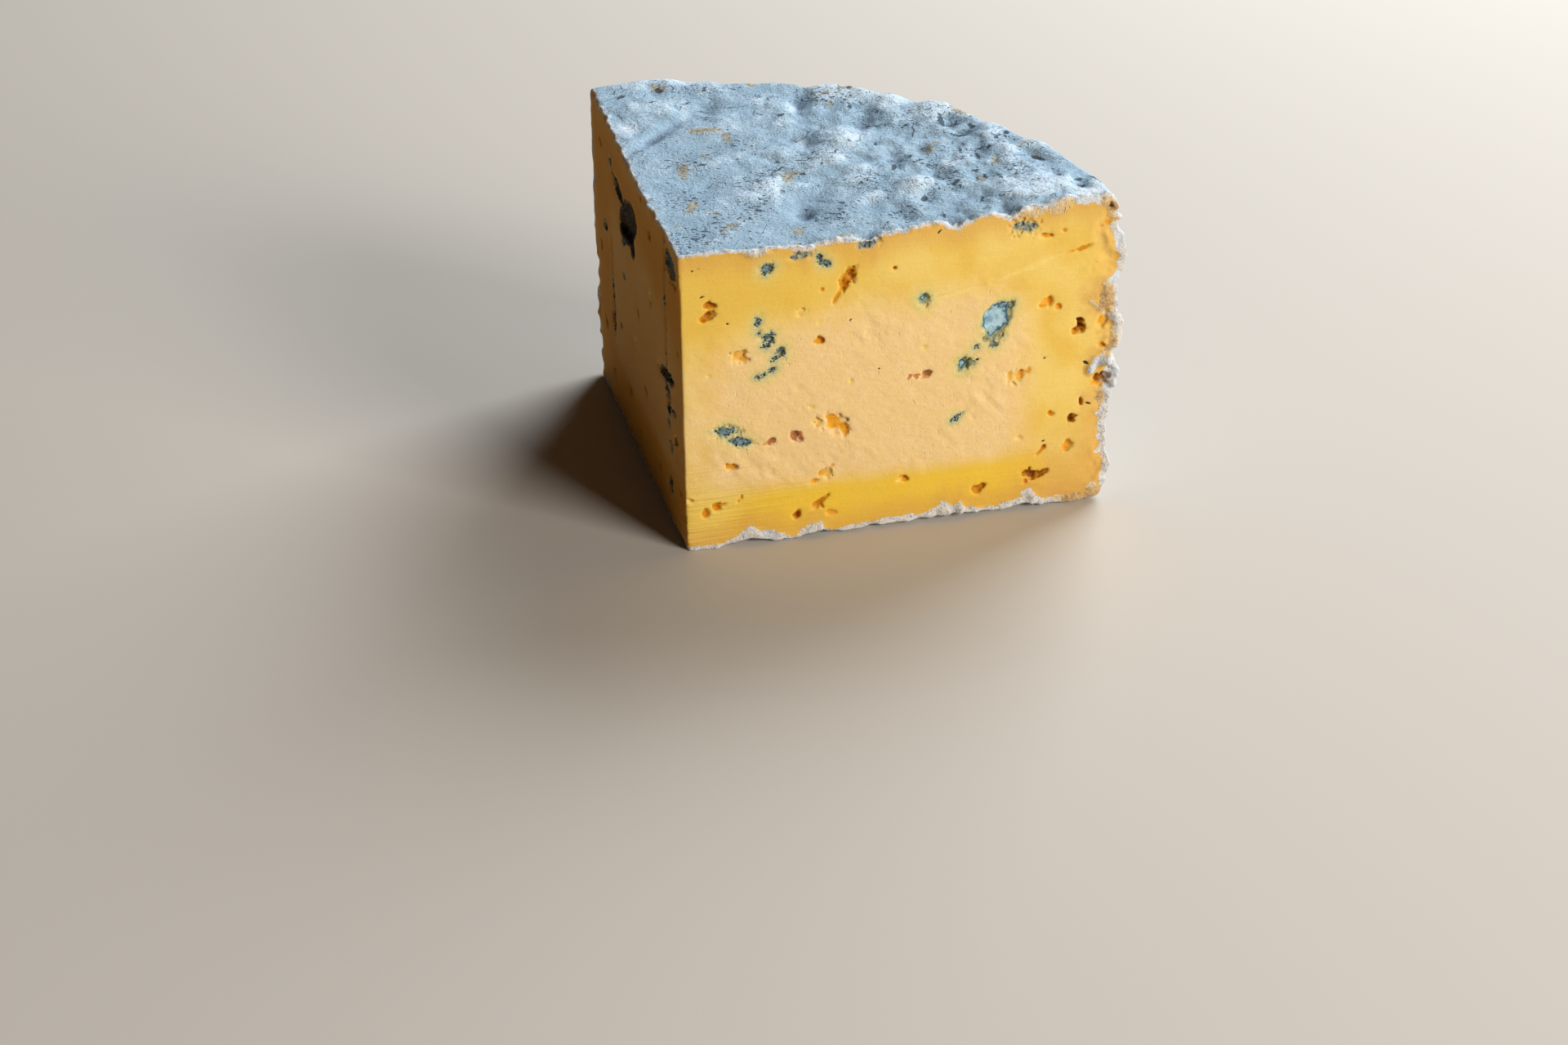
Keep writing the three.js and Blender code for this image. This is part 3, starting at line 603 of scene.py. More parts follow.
def join_diagonals(field):
    """Fills the grid points that would make the surface touch itself along an edge or at a point."""
    changed = True
    while changed:
        changed = False
        inside = field < 0
        for first, second in ((0, 1), (0, 2), (1, 2)):
            parts = {}
            for step in itertools.product((0, 1), repeat=2):
                part = [slice(None)] * 3
                for axis, shift in zip((first, second), step):
                    part[axis] = slice(shift, field.shape[axis] - 1 + shift)
                parts[step] = inside[tuple(part)]
            same = (parts[0, 0] == parts[1, 1]) & (parts[0, 1] == parts[1, 0])
            places = np.argwhere(same & (parts[0, 0] != parts[0, 1]))
            for place in places:
                corners = []
                for step in itertools.product((0, 1), repeat=2):
                    corner = place.copy()
                    corner[first] += step[0]
                    corner[second] += step[1]
                    corners.append(tuple(corner))
                outside = [corner for corner in corners if field[corner] >= 0]
                if len(outside) == 2:
                    field[min(outside, key=lambda corner: field[corner])] = FILLED
                    changed = True
        corner = {
            step: inside[tuple(slice(k, n - 1 + k) for k, n in zip(step, field.shape))]
            for step in itertools.product((0, 1), repeat=3)
        }
        filled = sum(part.astype(np.int8) for part in corner.values())
        for step in ((0, 0, 0), (1, 0, 0), (0, 1, 0), (0, 0, 1)):
            far = tuple(1 - k for k in step)
            pair = corner[step] == corner[far]
            alone = pair & (((filled == 2) & corner[step]) | ((filled == 6) & ~corner[step]))
            for place in np.argwhere(alone):
                cell = tuple(slice(p, p + 2) for p in place)
                field[cell] = np.minimum(field[cell], FILLED)
                changed = True


def zero_surface(field, axes):
    """Points and quads of the surface where the field is zero, one point in each cell it crosses."""
    inside = field < 0
    corners = list(itertools.product((0, 1), repeat=3))
    cells = tuple(n - 1 for n in field.shape)
    shifted = [tuple(slice(c, c + n) for c, n in zip(corner, cells)) for corner in corners]
    count = sum(inside[part].astype(np.int8) for part in shifted)
    crossed = (count > 0) & (count < 8)
    place = np.argwhere(crossed)
    values = np.stack([field[part][crossed] for part in shifted], axis=1)
    points = np.stack(
        [
            np.stack([axis[place[:, k] + corner[k]] for k, axis in enumerate(axes)], axis=1)
            for corner in corners
        ],
        axis=1,
    )
    total = np.zeros((len(place), 3))
    edges = np.zeros(len(place))
    for a, b in itertools.combinations(range(8), 2):
        if sum(p != q for p, q in zip(corners[a], corners[b])) != 1:
            continue
        cut = (values[:, a] < 0) != (values[:, b] < 0)
        share = values[cut, a] / (values[cut, a] - values[cut, b])
        total[cut] += points[cut, a] + share[:, None] * (points[cut, b] - points[cut, a])
        edges[cut] += 1
    vertices = total / edges[:, None]

    number = np.full(cells, -1, np.int32)
    number[crossed] = np.arange(len(place))
    quads = []
    for axis in range(3):
        first, second = (axis + 1) % 3, (axis + 2) % 3
        low = [slice(1, n - 1) for n in field.shape]
        high = list(low)
        low[axis], high[axis] = slice(0, field.shape[axis] - 1), slice(1, field.shape[axis])
        out = inside[tuple(low)] & ~inside[tuple(high)]
        into = ~inside[tuple(low)] & inside[tuple(high)]
        for mask, order in ((out, (0, 1, 2, 3)), (into, (3, 2, 1, 0))):
            at = np.argwhere(mask)
            at[:, first] += 1
            at[:, second] += 1
            ring = []
            for back_first, back_second in ((1, 1), (0, 1), (0, 0), (1, 0)):
                cell = at.copy()
                cell[:, first] -= back_first
                cell[:, second] -= back_second
                ring.append(number[tuple(cell.T)])
            quads.append(np.stack([ring[k] for k in order], axis=1))
    return vertices, np.concatenate(quads)


def largest_piece(vertices, quads):
    """The surface without loose scraps."""
    label = np.arange(len(vertices))
    while True:
        lowest = label[quads].min(axis=1)
        before = label.copy()
        for corner in range(4):
            np.minimum.at(label, quads[:, corner], lowest)
        label = label[label]
        if (label == before).all():
            break
    main = np.bincount(label[quads[:, 0]]).argmax()
    kept = quads[label[quads[:, 0]] == main]
    used = np.unique(kept)
    renumber = np.full(len(vertices), -1)
    renumber[used] = np.arange(len(used))
    return vertices[used], renumber[kept]


def wedge_surface():
    """Points and quads of the finished wedge, in millimetres from the foot of its upright edge."""
    axes = grid_axes()
    field = wedge_field(*axes)
    for side, marks in ((False, FRONT_MARKS), (True, SIDE_MARKS)):
        seed = MARK_SEED + side * MARK_SEED
        for kind, rows in marks.items():
            for row in rows:
                open_mark(field, axes, kind, row, side, seed)
                seed += 2
    join_diagonals(field)
    return largest_piece(*zero_surface(field, axes))


# Place of the foot of the upright edge in the part's frame
CORNER = np.array(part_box(NODE)[0])


def to_frame(points):
    """Points of the wedge, from millimetres in its own axes to metres in the part's frame."""
    return CORNER + np.asarray(points) * MILLIMETRE


def mesh_object(name, vertices, faces):
    """A mesh object at the origin."""
    mesh = bpy.data.meshes.new(name)
    mesh.from_pydata(vertices.tolist(), [], faces.tolist())
    mesh.validate()
    mesh.polygons.foreach_set("use_smooth", [True] * len(mesh.polygons))
    piece = bpy.data.objects.new(name, mesh)
    bpy.context.scene.collection.objects.link(piece)
    return piece


# Parts of the surface and the share of their faces that is kept: the base, the rim, the top, the
# side cut face and the front cut face
KEPT_SHARES = {"base": 0.05, "rim": 0.22, "top": 0.47, "side": 0.35, "front": 0.57}


def region_of(points):
    """The name of the part of the surface that each point lies on."""
    x, y, z = points.T
    top, rim, base = skin_distances(x, y, z)
    near = np.stack([base, rim, top, -x - 1.0, -y - 1.0])
    return np.array(list(KEPT_SHARES))[near.argmax(axis=0)]


def in_millimetres(piece):
    """The points of a mesh in the wedge's own axes."""
    points = np.empty(3 * len(piece.data.vertices), np.float32)
    piece.data.vertices.foreach_get("co", points)
    return (points.reshape(-1, 3) - CORNER) / MILLIMETRE


def thin_out(piece):
    """Joins the small faces of the surface where it is far from the eye or plain."""
    for other in bpy.context.selected_objects:
        other.select_set(False)
    piece.select_set(True)
    bpy.context.view_layer.objects.active = piece
    for name, share in KEPT_SHARES.items():
        chosen = region_of(in_millimetres(piece)) == name
        piece.data.vertices.foreach_set("select", chosen)
        piece.data.edges.foreach_set("select", [False] * len(piece.data.edges))
        piece.data.polygons.foreach_set("select", [False] * len(piece.data.polygons))
        bpy.ops.object.mode_set(mode="EDIT")
        bpy.context.tool_settings.mesh_select_mode = (True, False, False)
        bpy.ops.mesh.decimate(ratio=share)
        bpy.ops.object.mode_set(mode="OBJECT")
    drop_fins(piece.data)
    piece.data.polygons.foreach_set("use_smooth", [True] * len(piece.data.polygons))


def drop_fins(mesh):
    """Takes away single faces that hang on the closed surface by one edge."""
    shape = bmesh.new()
    shape.from_mesh(mesh)
    fins = [face for face in shape.faces if sum(edge.is_boundary for edge in face.edges) > 1]
    bmesh.ops.delete(shape, geom=fins, context="FACES")
    shape.to_mesh(mesh)
    shape.free()


# Patches of the top rind by kind: x, y, length, width, turn in degrees
TOP_PATCHES = {
    "ochre": [
        (24.2, 75.6, 10, 3.8, -15), (29, 70.6, 6.5, 2.4, 85), (13.4, 54.3, 8, 3, 80),
        (39.4, 43.6, 6.5, 2, 5), (38.2, 40.6, 5.6, 3, 80), (10.4, 30.7, 8, 3, 66),
        (14.8, 24.6, 3, 1.4, 0), (9.3, 17.3, 2.2, 1, 0), (17.4, 16.1, 3.4, 2.4, 40),
        (15, 13.1, 2.6, 2.2, 60), (4.2, 19.7, 3.6, 1.2, -10), (33, 8.7, 5, 2.8, 70),
        (30.6, 1.2, 2, 1.6, 0), (43, 2, 5, 1.6, 20), (21.2, 61.4, 3.4, 1.8, 20), (77.9, 44.8, 4, 2.4, 70),
        (80.2, 48, 4, 1.3, 0), (91.7, 31.4, 4.4, 2, 70), (85.4, 23, 4, 3, 70), (18, 106.5, 5, 3.4, 120),
        (36, 107.1, 2, 3, 0), (43.2, 101.9, 2, 4, 0), (92.4, 65.1, 7, 3.4, 115),
        (77.7, 82.1, 6, 2.4, 140), (65.9, 89, 5, 1.4, 160), (61.1, 88.3, 6, 1.2, 10),
        (60.9, 82.7, 3, 1.4, 70), (101.2, 38, 4, 1.6, 20), (103.4, 32.3, 2.4, 1.4, 110),
    ],
    # White patches: partly white frost, partly painted highlight on the lit sides of ridges
    "frost_and_highlight": [
        (60.6, 92.8, 9, 5, 0), (45.4, 75, 8, 4, 50), (50.1, 84.3, 6, 3.4, 80), (86.7, 66.9, 6, 4, 60),
        (35.1, 37.6, 11, 3, 70), (4.5, 83, 12, 6, 80), (67.5, 22.7, 11, 5, 72), (56.3, 22.8, 9, 5, 40),
        (97.1, 9.3, 10, 5, 20), (108.4, 1.8, 7, 8, 60), (27.9, 107.9, 12, 4, 170),
        (60.5, 58.9, 11, 5, 60), (21.7, 89, 16, 2, 78), (47.3, 62.7, 8, 2.4, 75), (75.6, 80.1, 8, 4, 40),
        (102, 17.9, 5, 3, 60), (79.4, 33.6, 7, 4, 60), (107, 2.6, 9, 9, 0), (110.5, 4, 5, 7, 0),
    ],
    # Dark patches: dark marks of the rind, and in some hollows painted shadow
    "dark_and_shadow": [
        (6.8, 103.3, 4, 1.8, 50), (30, 101.8, 2.2, 1, 70), (23.1, 94.4, 3, 1, 30),
        (14.3, 96.7, 3.6, 1, 20), (40.7, 81.6, 3.4, 0.9, -60), (45.9, 79, 2.6, 1.5, 20),
        (65.3, 78.7, 3.4, 1.2, 70), (68.3, 89.2, 2.4, 1.5, 45), (85.9, 61, 6.4, 1.7, 82),
        (93, 56.8, 3, 1.6, 100), (88.6, 53.1, 5, 1.4, 5), (99.9, 47.8, 2.4, 1.4, 60),
        (52.5, 50, 3.6, 0.8, 0), (53.8, 51.3, 2.8, 0.7, 70), (90.7, 41.7, 2.8, 1.1, 20),
        (92.8, 40.6, 2.6, 1.1, 60), (71.7, 42.1, 3.6, 1.1, 45), (72.6, 38.2, 3.4, 1, 10),
        (103.1, 29.9, 5.4, 1.5, 118), (88.7, 36.5, 9, 0.8, 80), (66.3, 38.6, 5.6, 1.2, 70),
        (85.3, 27.8, 2, 0.9, 10), (84.2, 23.3, 4, 0.8, 75), (86.5, 23.2, 4, 0.8, 80),
        (78.2, 22.3, 3.4, 1.6, 40), (78.6, 19, 2, 0.9, 110), (93.5, 20.1, 3.2, 0.8, 60),
        (92.4, 18.7, 2.4, 0.8, 0), (89.3, 19.6, 4.6, 0.8, 85), (107.9, 12.4, 2.6, 1.3, 20),
        (107.3, 8.4, 3, 1.4, 110), (104, 16.4, 3.4, 1.1, 80), (68.2, 17.1, 4, 1.5, 65),
        (81.6, 10.8, 3.6, 0.9, 65), (62.8, 12.7, 3, 0.9, 110), (70, 5.5, 3, 0.7, 85),
        (47.7, 21.7, 2.4, 1, 130), (13.4, 18.5, 2.2, 1.4, 20), (5.8, 10.7, 2, 1.5, 0),
        (14.2, 11.1, 2, 0.9, 0), (22.7, 30.4, 1.8, 0.8, 80), (16.2, 72, 2.6, 0.9, 10),
        (4.4, 68.7, 2.2, 0.9, 20), (42.7, 42.3, 2.6, 1, 10), (76.1, 61.9, 3, 0.8, 20),
        (85.2, 41.6, 4, 0.7, 75), (111.8, 10, 5, 0.9, 95), (37.7, 47.2, 3, 0.8, 30),
        (30, 40.3, 5, 0.7, 85), (65.5, 53.8, 3, 0.8, 85), (59, 35.1, 2.2, 0.7, 110),
        (96.9, 45.7, 3.4, 0.8, 50), (17.9, 105.6, 3.4, 2, 110),
    ],
}

# Ground where dark flecks lie close together: x, y, half length, half width, turn in degrees
FLECKED_GROUND = [
    (8.8, 11.1, 14, 9, 45), (24.8, 25.1, 12, 5, 60), (33.5, 42.9, 9, 6, 50), (10.7, 36, 6, 9, 0),
    (16.3, 59.1, 8, 6, 40), (29.9, 65.6, 7, 4, 20), (42.7, 14.7, 9, 6, 45), (60.3, 9.2, 8, 5, 0),
    (58.1, 30.5, 7, 6, 60), (48, 51.8, 7, 4, 30), (75.6, 26.5, 9, 6, 45), (83.2, 38.9, 8, 8, 0),
    (95.1, 22.3, 10, 6, 70), (84.8, 63, 13, 9, 130), (100.9, 41.4, 10, 6, 110), (60.8, 87, 12, 7, 150),
    (29, 101.7, 12, 5, 165), (69.1, 68.4, 8, 6, 120),
]


def mark_field(marks, kinds, along, height):
    """Distance in a cut face outside the nearest mark of some kinds, in millimetres, up to 6."""
    nearest = np.full(len(along), 6.0)
    wander = 0.7 * noise(301, along / 1.7, height / 1.7) + 0.35 * noise(302, along / 0.8, height / 0.8)
    ragged = 0.3 if "pocket" in kinds or "pit" in kinds else 0.7
    for mark in itertools.chain(*(marks.get(kind, ()) for kind in kinds)):
        centre, middle, length, width = mark[:4]
        away = np.hypot(along - centre, height - middle)
        here = away < length / 2 + 6
        reach = ellipse_reach(mark, along[here], height[here])
        narrow = min(width, 4.0) / 2
        outside = np.maximum(away[here] * (1 - 1 / np.maximum(reach, 1)), (reach - 1) * narrow)
        distance = np.where(reach > 1, outside, (reach - 1) * narrow)
        distance = distance + ragged * narrow * wander[here]
        nearest[here] = np.minimum(nearest[here], distance)
    return nearest


def surface_values(points):
    """What the material needs to know about each point of the surface."""
    x, y, z = points.T
    top, rim, base = skin_distances(x, y, z)
    skin = round_max(round_max(rim, top, TOP_CORNER), base, BASE_CORNER)
    front_depth, side_depth = y - FRONT.at(x, z), x - SIDE.at(y, z)
    front = front_depth < side_depth
    depth = np.minimum(front_depth, side_depth)
    along = np.where(front, x, y)

    crinkled = 1 + 0.32 * crinkle(81, 1.7, 3, along + 200 * front, z)
    top_crust = np.where(front, np.interp(x, *zip(*TOP_CRUST)), SIDE_TOP_CRUST)
    base_crust = np.where(front, np.interp(x, *zip(*BASE_CRUST)), SIDE_BASE_CRUST)
    rim_crust = np.where(front, np.interp(z, *zip(*RIM_CRUST)), SIDE_RIM_CRUST)
    crust = np.maximum(top + top_crust * crinkled, rim + rim_crust * crinkled)
    crust = np.maximum(crust, base + base_crust * crinkled)
    lump = np.zeros(len(x))
    for row in FRONT_CRUST:
        lump = np.maximum(lump, np.where(front, crust_lump(row, x, z), 0))
    rind = np.maximum(crust, np.where(lump > 0.02, 2.6 * (lump - 0.42), -9))
    tan = np.zeros(len(x))
    for row in TAN_CRUST:
        tan = np.maximum(tan, np.where(front, np.exp(-ellipse_reach(row, x, z) ** 4), 0))

    snow = np.zeros(len(x))
    for row in WHITE_CRUST:
        snow = np.maximum(snow, np.where(front, np.exp(-ellipse_reach(row, x, z) ** 4), 0))

    values = {
        "bloom": skin + depth,
        "rind": np.maximum(rind, -9),
        "depth": np.clip(depth, 0, 6),
        "core": core_share(along, z),
        "base": smooth(21, 11, z) * smooth(104, 90, along) * (0.45 + 0.55 * smooth(5, 28, along)),
        "pale": 1 - smooth(56, 30, along) * smooth(56, 68, z),
        "tan": np.maximum(tan, 0.5 * smooth(76, 81, z)),
        "snow": snow,
        "outward": smooth(40, 100, np.hypot(x, y)),
        "side": np.where(front, 0.0, 1.0),
        "knife": smooth(40, 4, along) * smooth(32, 12, z),
        "foot": smooth(78, 102, along) * smooth(30, 8, z),
        "rim": smooth(4, 0.5, -rim) * smooth(-0.5, 6, -top),
    }
    for name, kinds in {
        "mould": ("mould", "track"), "eye": ("eye",), "red": ("red",), "rough": ("rough",),
        "pocket": ("pocket",), "amber": ("amber",), "spot": ("spot",), "speck": ("speck",),
        "pit": ("pit",), "scratch": ("scratch",),
    }.items():
        values[name] = np.where(
            front,
            mark_field(FRONT_MARKS, kinds, x, z),
            mark_field(SIDE_MARKS, kinds, y, z),
        )
    for name in ("ochre", "frost_and_highlight", "dark_and_shadow"):
        patch = np.full(len(x), 4.0)
        for row in TOP_PATCHES[name]:
            patch = np.minimum(patch, (ellipse_reach(row, x, y) - 1) * row[3] / 2)
        values[name] = np.where(top > -3, patch, 4.0)
    flecked = np.zeros(len(x))
    for row in FLECKED_GROUND:
        flecked = np.maximum(flecked, np.exp(-ellipse_reach(row, x, y) ** 2 / 4))
    values["flecked"] = flecked
    on_top = TOP.at(x, y) - plain_top(np.hypot(x, y))
    on_rim = RIM.at(np.arctan2(y, x) * WHEEL_RADIUS, z) - WHEEL_RADIUS - BARREL
    values["relief"] = np.where(top > rim, on_top, on_rim)
    return values


def store_values(piece):
    """Keeps the surface's values as attributes of the mesh's points."""
    for name, value in surface_values(in_millimetres(piece)).items():
        layer = piece.data.attributes.new(name, "FLOAT", "POINT")
        layer.data.foreach_set("value", value.astype(np.float32))


def srgb(red, green, blue):
    """A colour of 0 to 255 steps as Blender's linear red, green, blue and alpha."""
    share = np.array([red, green, blue]) / 255
    linear = np.where(share <= 0.04045, share / 12.92, ((share + 0.055) / 1.055) ** 2.4)
    return (*(float(part) for part in linear), 1.0)


class Graph:
    """Short names for the nodes that the material is made of."""

    def __init__(self, name):
        self.material = bpy.data.materials.new(name)
        self.material.use_nodes = True
        self.tree = self.material.node_tree
        self.shader = self.tree.nodes["Principled BSDF"]
        coordinates = self.tree.nodes.new("ShaderNodeTexCoord")
        scale = self.tree.nodes.new("ShaderNodeVectorMath")
        scale.operation = "SCALE"
        scale.inputs["Scale"].default_value = 1 / MILLIMETRE
        self.tree.links.new(coordinates.outputs["Object"], scale.inputs[0])
        self.place = scale.outputs[0]

    def connect(self, value, socket):
        """Links a node's output to a socket, or sets the socket to a plain value."""
        if isinstance(value, bpy.types.NodeSocket):
            self.tree.links.new(value, socket)
        else:
            socket.default_value = value

    def value(self, name):
        """A value stored on the mesh."""
        node = self.tree.nodes.new("ShaderNodeAttribute")
        node.attribute_name = name
        return node.outputs["Fac"]

    def math(self, operation, a, b=0.0, clamp=False):
        node = self.tree.nodes.new("ShaderNodeMath")
        node.operation = operation
        node.use_clamp = clamp
        self.connect(a, node.inputs[0])
        self.connect(b, node.inputs[1])
        return node.outputs[0]

    def add(self, a, b):
        return self.math("ADD", a, b)

    def times(self, a, b):
        return self.math("MULTIPLY", a, b)

    def most(self, a, b):
        return self.math("MAXIMUM", a, b)

    def share(self, value, start, end):
        """0 where the value is at start, 1 where it is at end, smooth between."""
        node = self.tree.nodes.new("ShaderNodeMapRange")
        node.interpolation_type = "SMOOTHSTEP"
        self.connect(value, node.inputs["Value"])
        node.inputs["From Min"].default_value = min(start, end)
        node.inputs["From Max"].default_value = max(start, end)
        node.inputs["To Min"].default_value = 0.0 if start < end else 1.0
        node.inputs["To Max"].default_value = 1.0 if start < end else 0.0
        return node.outputs["Result"]

    def noise(self, size, detail=2.0, roughness=0.5, stretch=None, distortion=0.0):
        """Noise around 0, from about -0.5 to 0.5, with waves about size millimetres long."""
        node = self.tree.nodes.new("ShaderNodeTexNoise")
        node.inputs["Scale"].default_value = 1 / size
        node.inputs["Detail"].default_value = detail
        node.inputs["Roughness"].default_value = roughness
        node.inputs["Distortion"].default_value = distortion
        self.tree.links.new(self.stretched(stretch), node.inputs["Vector"])
        return self.add(node.outputs["Fac"], -0.5)

    def stretched(self, stretch):
        if stretch is None:
            return self.place
        node = self.tree.nodes.new("ShaderNodeMapping")
        turn, scale = stretch
        node.vector_type = "TEXTURE"
        node.inputs["Rotation"].default_value = tuple(math.radians(a) for a in turn)
        node.inputs["Scale"].default_value = scale
        self.tree.links.new(self.place, node.inputs["Vector"])
        return node.outputs["Vector"]

    def mix(self, share, a, b):
        """Colour a, changing to colour b."""
        node = self.tree.nodes.new("ShaderNodeMix")
        node.data_type = "RGBA"
        self.connect(share, node.inputs["Factor"])
        self.connect(a, node.inputs["A"])
        self.connect(b, node.inputs["B"])
        return node.outputs["Result"]

    def blend(self, share, a, b):
        """Number a, changing to number b."""
        node = self.tree.nodes.new("ShaderNodeMix")
        self.connect(share, node.inputs["Factor"])
        self.connect(a, node.inputs["A"])
        self.connect(b, node.inputs["B"])
        return node.outputs["Result"]



# Colours, as they show in even light, except where a comment below marks painted shade or painted highlight
PASTE_YELLOW = srgb(232, 194, 88)
PASTE_ORANGE = srgb(228, 181, 74)
PASTE_LIGHT = srgb(238, 206, 114)
SHADED_SIDE_PASTE = srgb(198, 122, 34)
BAND_YELLOW = srgb(238, 196, 60)
SCRATCH_HIGHLIGHT = srgb(246, 216, 128)
CORE_PEACH = srgb(239, 204, 142)
CORE_PALE = srgb(245, 216, 166)
RIM_TAN = srgb(214, 160, 82)
EYE_ORANGE = srgb(224, 158, 34)
EYE_SHADE_BROWN = srgb(176, 102, 16)
EYE_SHADE_DEEP = srgb(112, 58, 10)
AMBER = srgb(230, 164, 46)
RED_PIT = srgb(188, 104, 54)
RED_SHADE_DEEP = srgb(140, 66, 34)
MOULD_DARK = srgb(44, 62, 68)
MOULD_TEAL = srgb(106, 138, 142)
MOULD_GREY = srgb(170, 192, 188)
MOULD_HALO = srgb(156, 176, 152)
MOULD_FIELD = srgb(224, 206, 124)
POCKET_LINE = srgb(76, 112, 122)
SPOT_DARK = srgb(60, 66, 66)
SPOT_GREY = srgb(142, 148, 138)
SPOT_CREAM = srgb(208, 204, 170)
SPECK_BROWN = srgb(62, 50, 40)
SHADED_PIT_DARK = srgb(74, 66, 54)
SHADED_PIT_GREY = srgb(122, 112, 98)
POCKET_LIGHT = srgb(182, 212, 222)
POCKET_BLUE = srgb(132, 166, 184)
CRUST_WHITE = srgb(240, 238, 236)
CRUST_CREAM = srgb(242, 210, 156)
CRUST_BLUE = srgb(196, 208, 220)
CRUST_TAN = srgb(210, 172, 120)
CRUST_GREY = srgb(128, 118, 108)
SNOW = srgb(232, 240, 248)
BLOOM_BLUE = srgb(154, 182, 202)
BLOOM_WHITE = srgb(214, 233, 247)
BLOOM_HOLLOW_SHADE = srgb(100, 118, 140)
BLOOM_STIPPLE = srgb(104, 130, 156)
OCHRE = srgb(140, 126, 90)
OCHRE_PALE = srgb(186, 176, 150)
FLECK = srgb(48, 58, 70)
RIM_BROWN = srgb(156, 132, 102)
RIM_GREY = srgb(196, 194, 190)


def cheese_material():
    """Paste, eyes, mould and rind, each in its place on the one surface."""
    g = Graph("cheese")
    broad, middle, fine = g.noise(14, 3), g.noise(3.5, 3), g.noise(1.1, 3, 0.6)
    grain = g.noise(0.4, 3, 0.65)
    flecky = g.noise(0.8, 2, 0.5)
    depth = g.value("depth")

    # Paste: yellow near the rind, peach and chalky in the core, deep yellow under the base
    core = g.share(g.add(g.value("core"), g.add(g.times(middle, 0.2), g.times(broad, 0.3))), 0.1, 0.9)
    # Painted shade: on the side cut face the pale core is mostly dropped, standing in for the shade that face lies in
    core = g.times(core, g.blend(g.value("side"), 1.0, 0.2))
    outer = g.mix(g.times(g.share(broad, -0.3, 0.2), g.value("pale")), PASTE_YELLOW, PASTE_LIGHT)
    outer = g.mix(g.times(g.share(broad, 0.1, -0.3), 0.5), outer, PASTE_ORANGE)
    band = g.share(g.add(g.value("base"), g.times(middle, 0.3)), 0.1, 0.95)
    outer = g.mix(g.times(band, 0.85), outer, BAND_YELLOW)
    # Painted shade: the side cut face's paste turns a darker orange, standing in for the shade that face lies in
    outer = g.mix(g.times(g.value("side"), 0.85), outer, SHADED_SIDE_PASTE)
    inner = g.mix(g.times(g.share(g.add(middle, fine), -0.1, 0.4), 0.5), CORE_PEACH, CORE_PALE)
    paste = g.mix(core, outer, inner)
    rind = g.value("rind")
    paste = g.mix(g.times(g.share(g.add(rind, g.times(middle, 4)), -8, -0.4), 0.55), paste, RIM_TAN)
    paste = g.mix(g.times(g.value("foot"), 0.45), paste, RIM_TAN)

    # Painted highlight: a paler yellow line along the scratches, where light catches their edge
    paste = g.mix(g.times(g.share(g.value("scratch"), 0.35, -0.1), 0.45), paste, SCRATCH_HIGHLIGHT)

    # Eyes and pits; the eyes darken further in as painted shade in the recesses
    eye = g.add(g.value("eye"), g.times(fine, 0.5))
    deep = g.share(g.add(depth, g.times(fine, 0.8)), 0.35, 2.4)
    eye_colour = g.mix(deep, EYE_ORANGE, EYE_SHADE_BROWN)
    eye_colour = g.mix(g.share(g.add(depth, g.times(flecky, 2.4)), 1.2, 2.6), eye_colour, EYE_SHADE_DEEP)
    eye_share = g.times(g.share(eye, 0.5, 0.15), g.share(depth, 0.05, 0.4))
    colour = g.mix(eye_share, paste, eye_colour)
    amber = g.share(g.add(g.value("amber"), g.times(fine, 0.7)), 0.45, -0.05)
    colour = g.mix(g.times(amber, g.share(depth, -0.15, 0.2)), colour, AMBER)
    rough = g.share(g.add(g.value("rough"), g.times(fine, 1.6)), 0.6, -0.1)
    crumbs = g.mix(g.share(depth, 0.2, 1.2), PASTE_LIGHT, EYE_ORANGE)
    colour = g.mix(g.times(rough, 0.8), colour, crumbs)
    red = g.share(g.add(g.value("red"), g.times(fine, 2.2)), 0.4, -0.1)
    # Painted shade: the red pits darken further in
    red_colour = g.mix(g.share(g.add(depth, g.times(flecky, 2.4)), 0.5, 1.3), RED_PIT, RED_SHADE_DEEP)
    colour = g.mix(g.times(red, 0.8), colour, red_colour)

    # Blue mould: dark and grey flecks with paste between them, in a pale field
    mottle = g.add(g.times(fine, 1.2), grain)
    speckle = g.noise(0.55, 2, 0.6)
    field = g.add(g.value("mould"), g.times(middle, 3))
    field = g.times(g.share(field, 4.5, 0.6), g.blend(g.value("side"), 0.5, 0.0))
    colour = g.mix(field, colour, MOULD_FIELD)
    mould = g.add(g.value("mould"), g.add(g.times(speckle, 2.8), g.times(grain, 1.2)))
    colour = g.mix(g.times(g.share(mould, 2.0, 0.1), 0.5), colour, MOULD_HALO)
    satellites = g.times(g.share(flecky, 0.17, 0.23), g.share(g.value("mould"), 2.8, 0.8))
    colour = g.mix(g.times(satellites, 0.7), colour, MOULD_TEAL)
    mould_colour = g.mix(g.share(speckle, -0.04, 0.08), MOULD_GREY, MOULD_TEAL)
    mould_colour = g.mix(g.share(speckle, 0.06, -0.08), mould_colour, MOULD_DARK)
    inside = g.share(g.add(g.value("mould"), g.times(flecky, 2.0)), -0.3, -0.8)
    mould_colour = g.mix(g.times(inside, 0.35), mould_colour, POCKET_LIGHT)
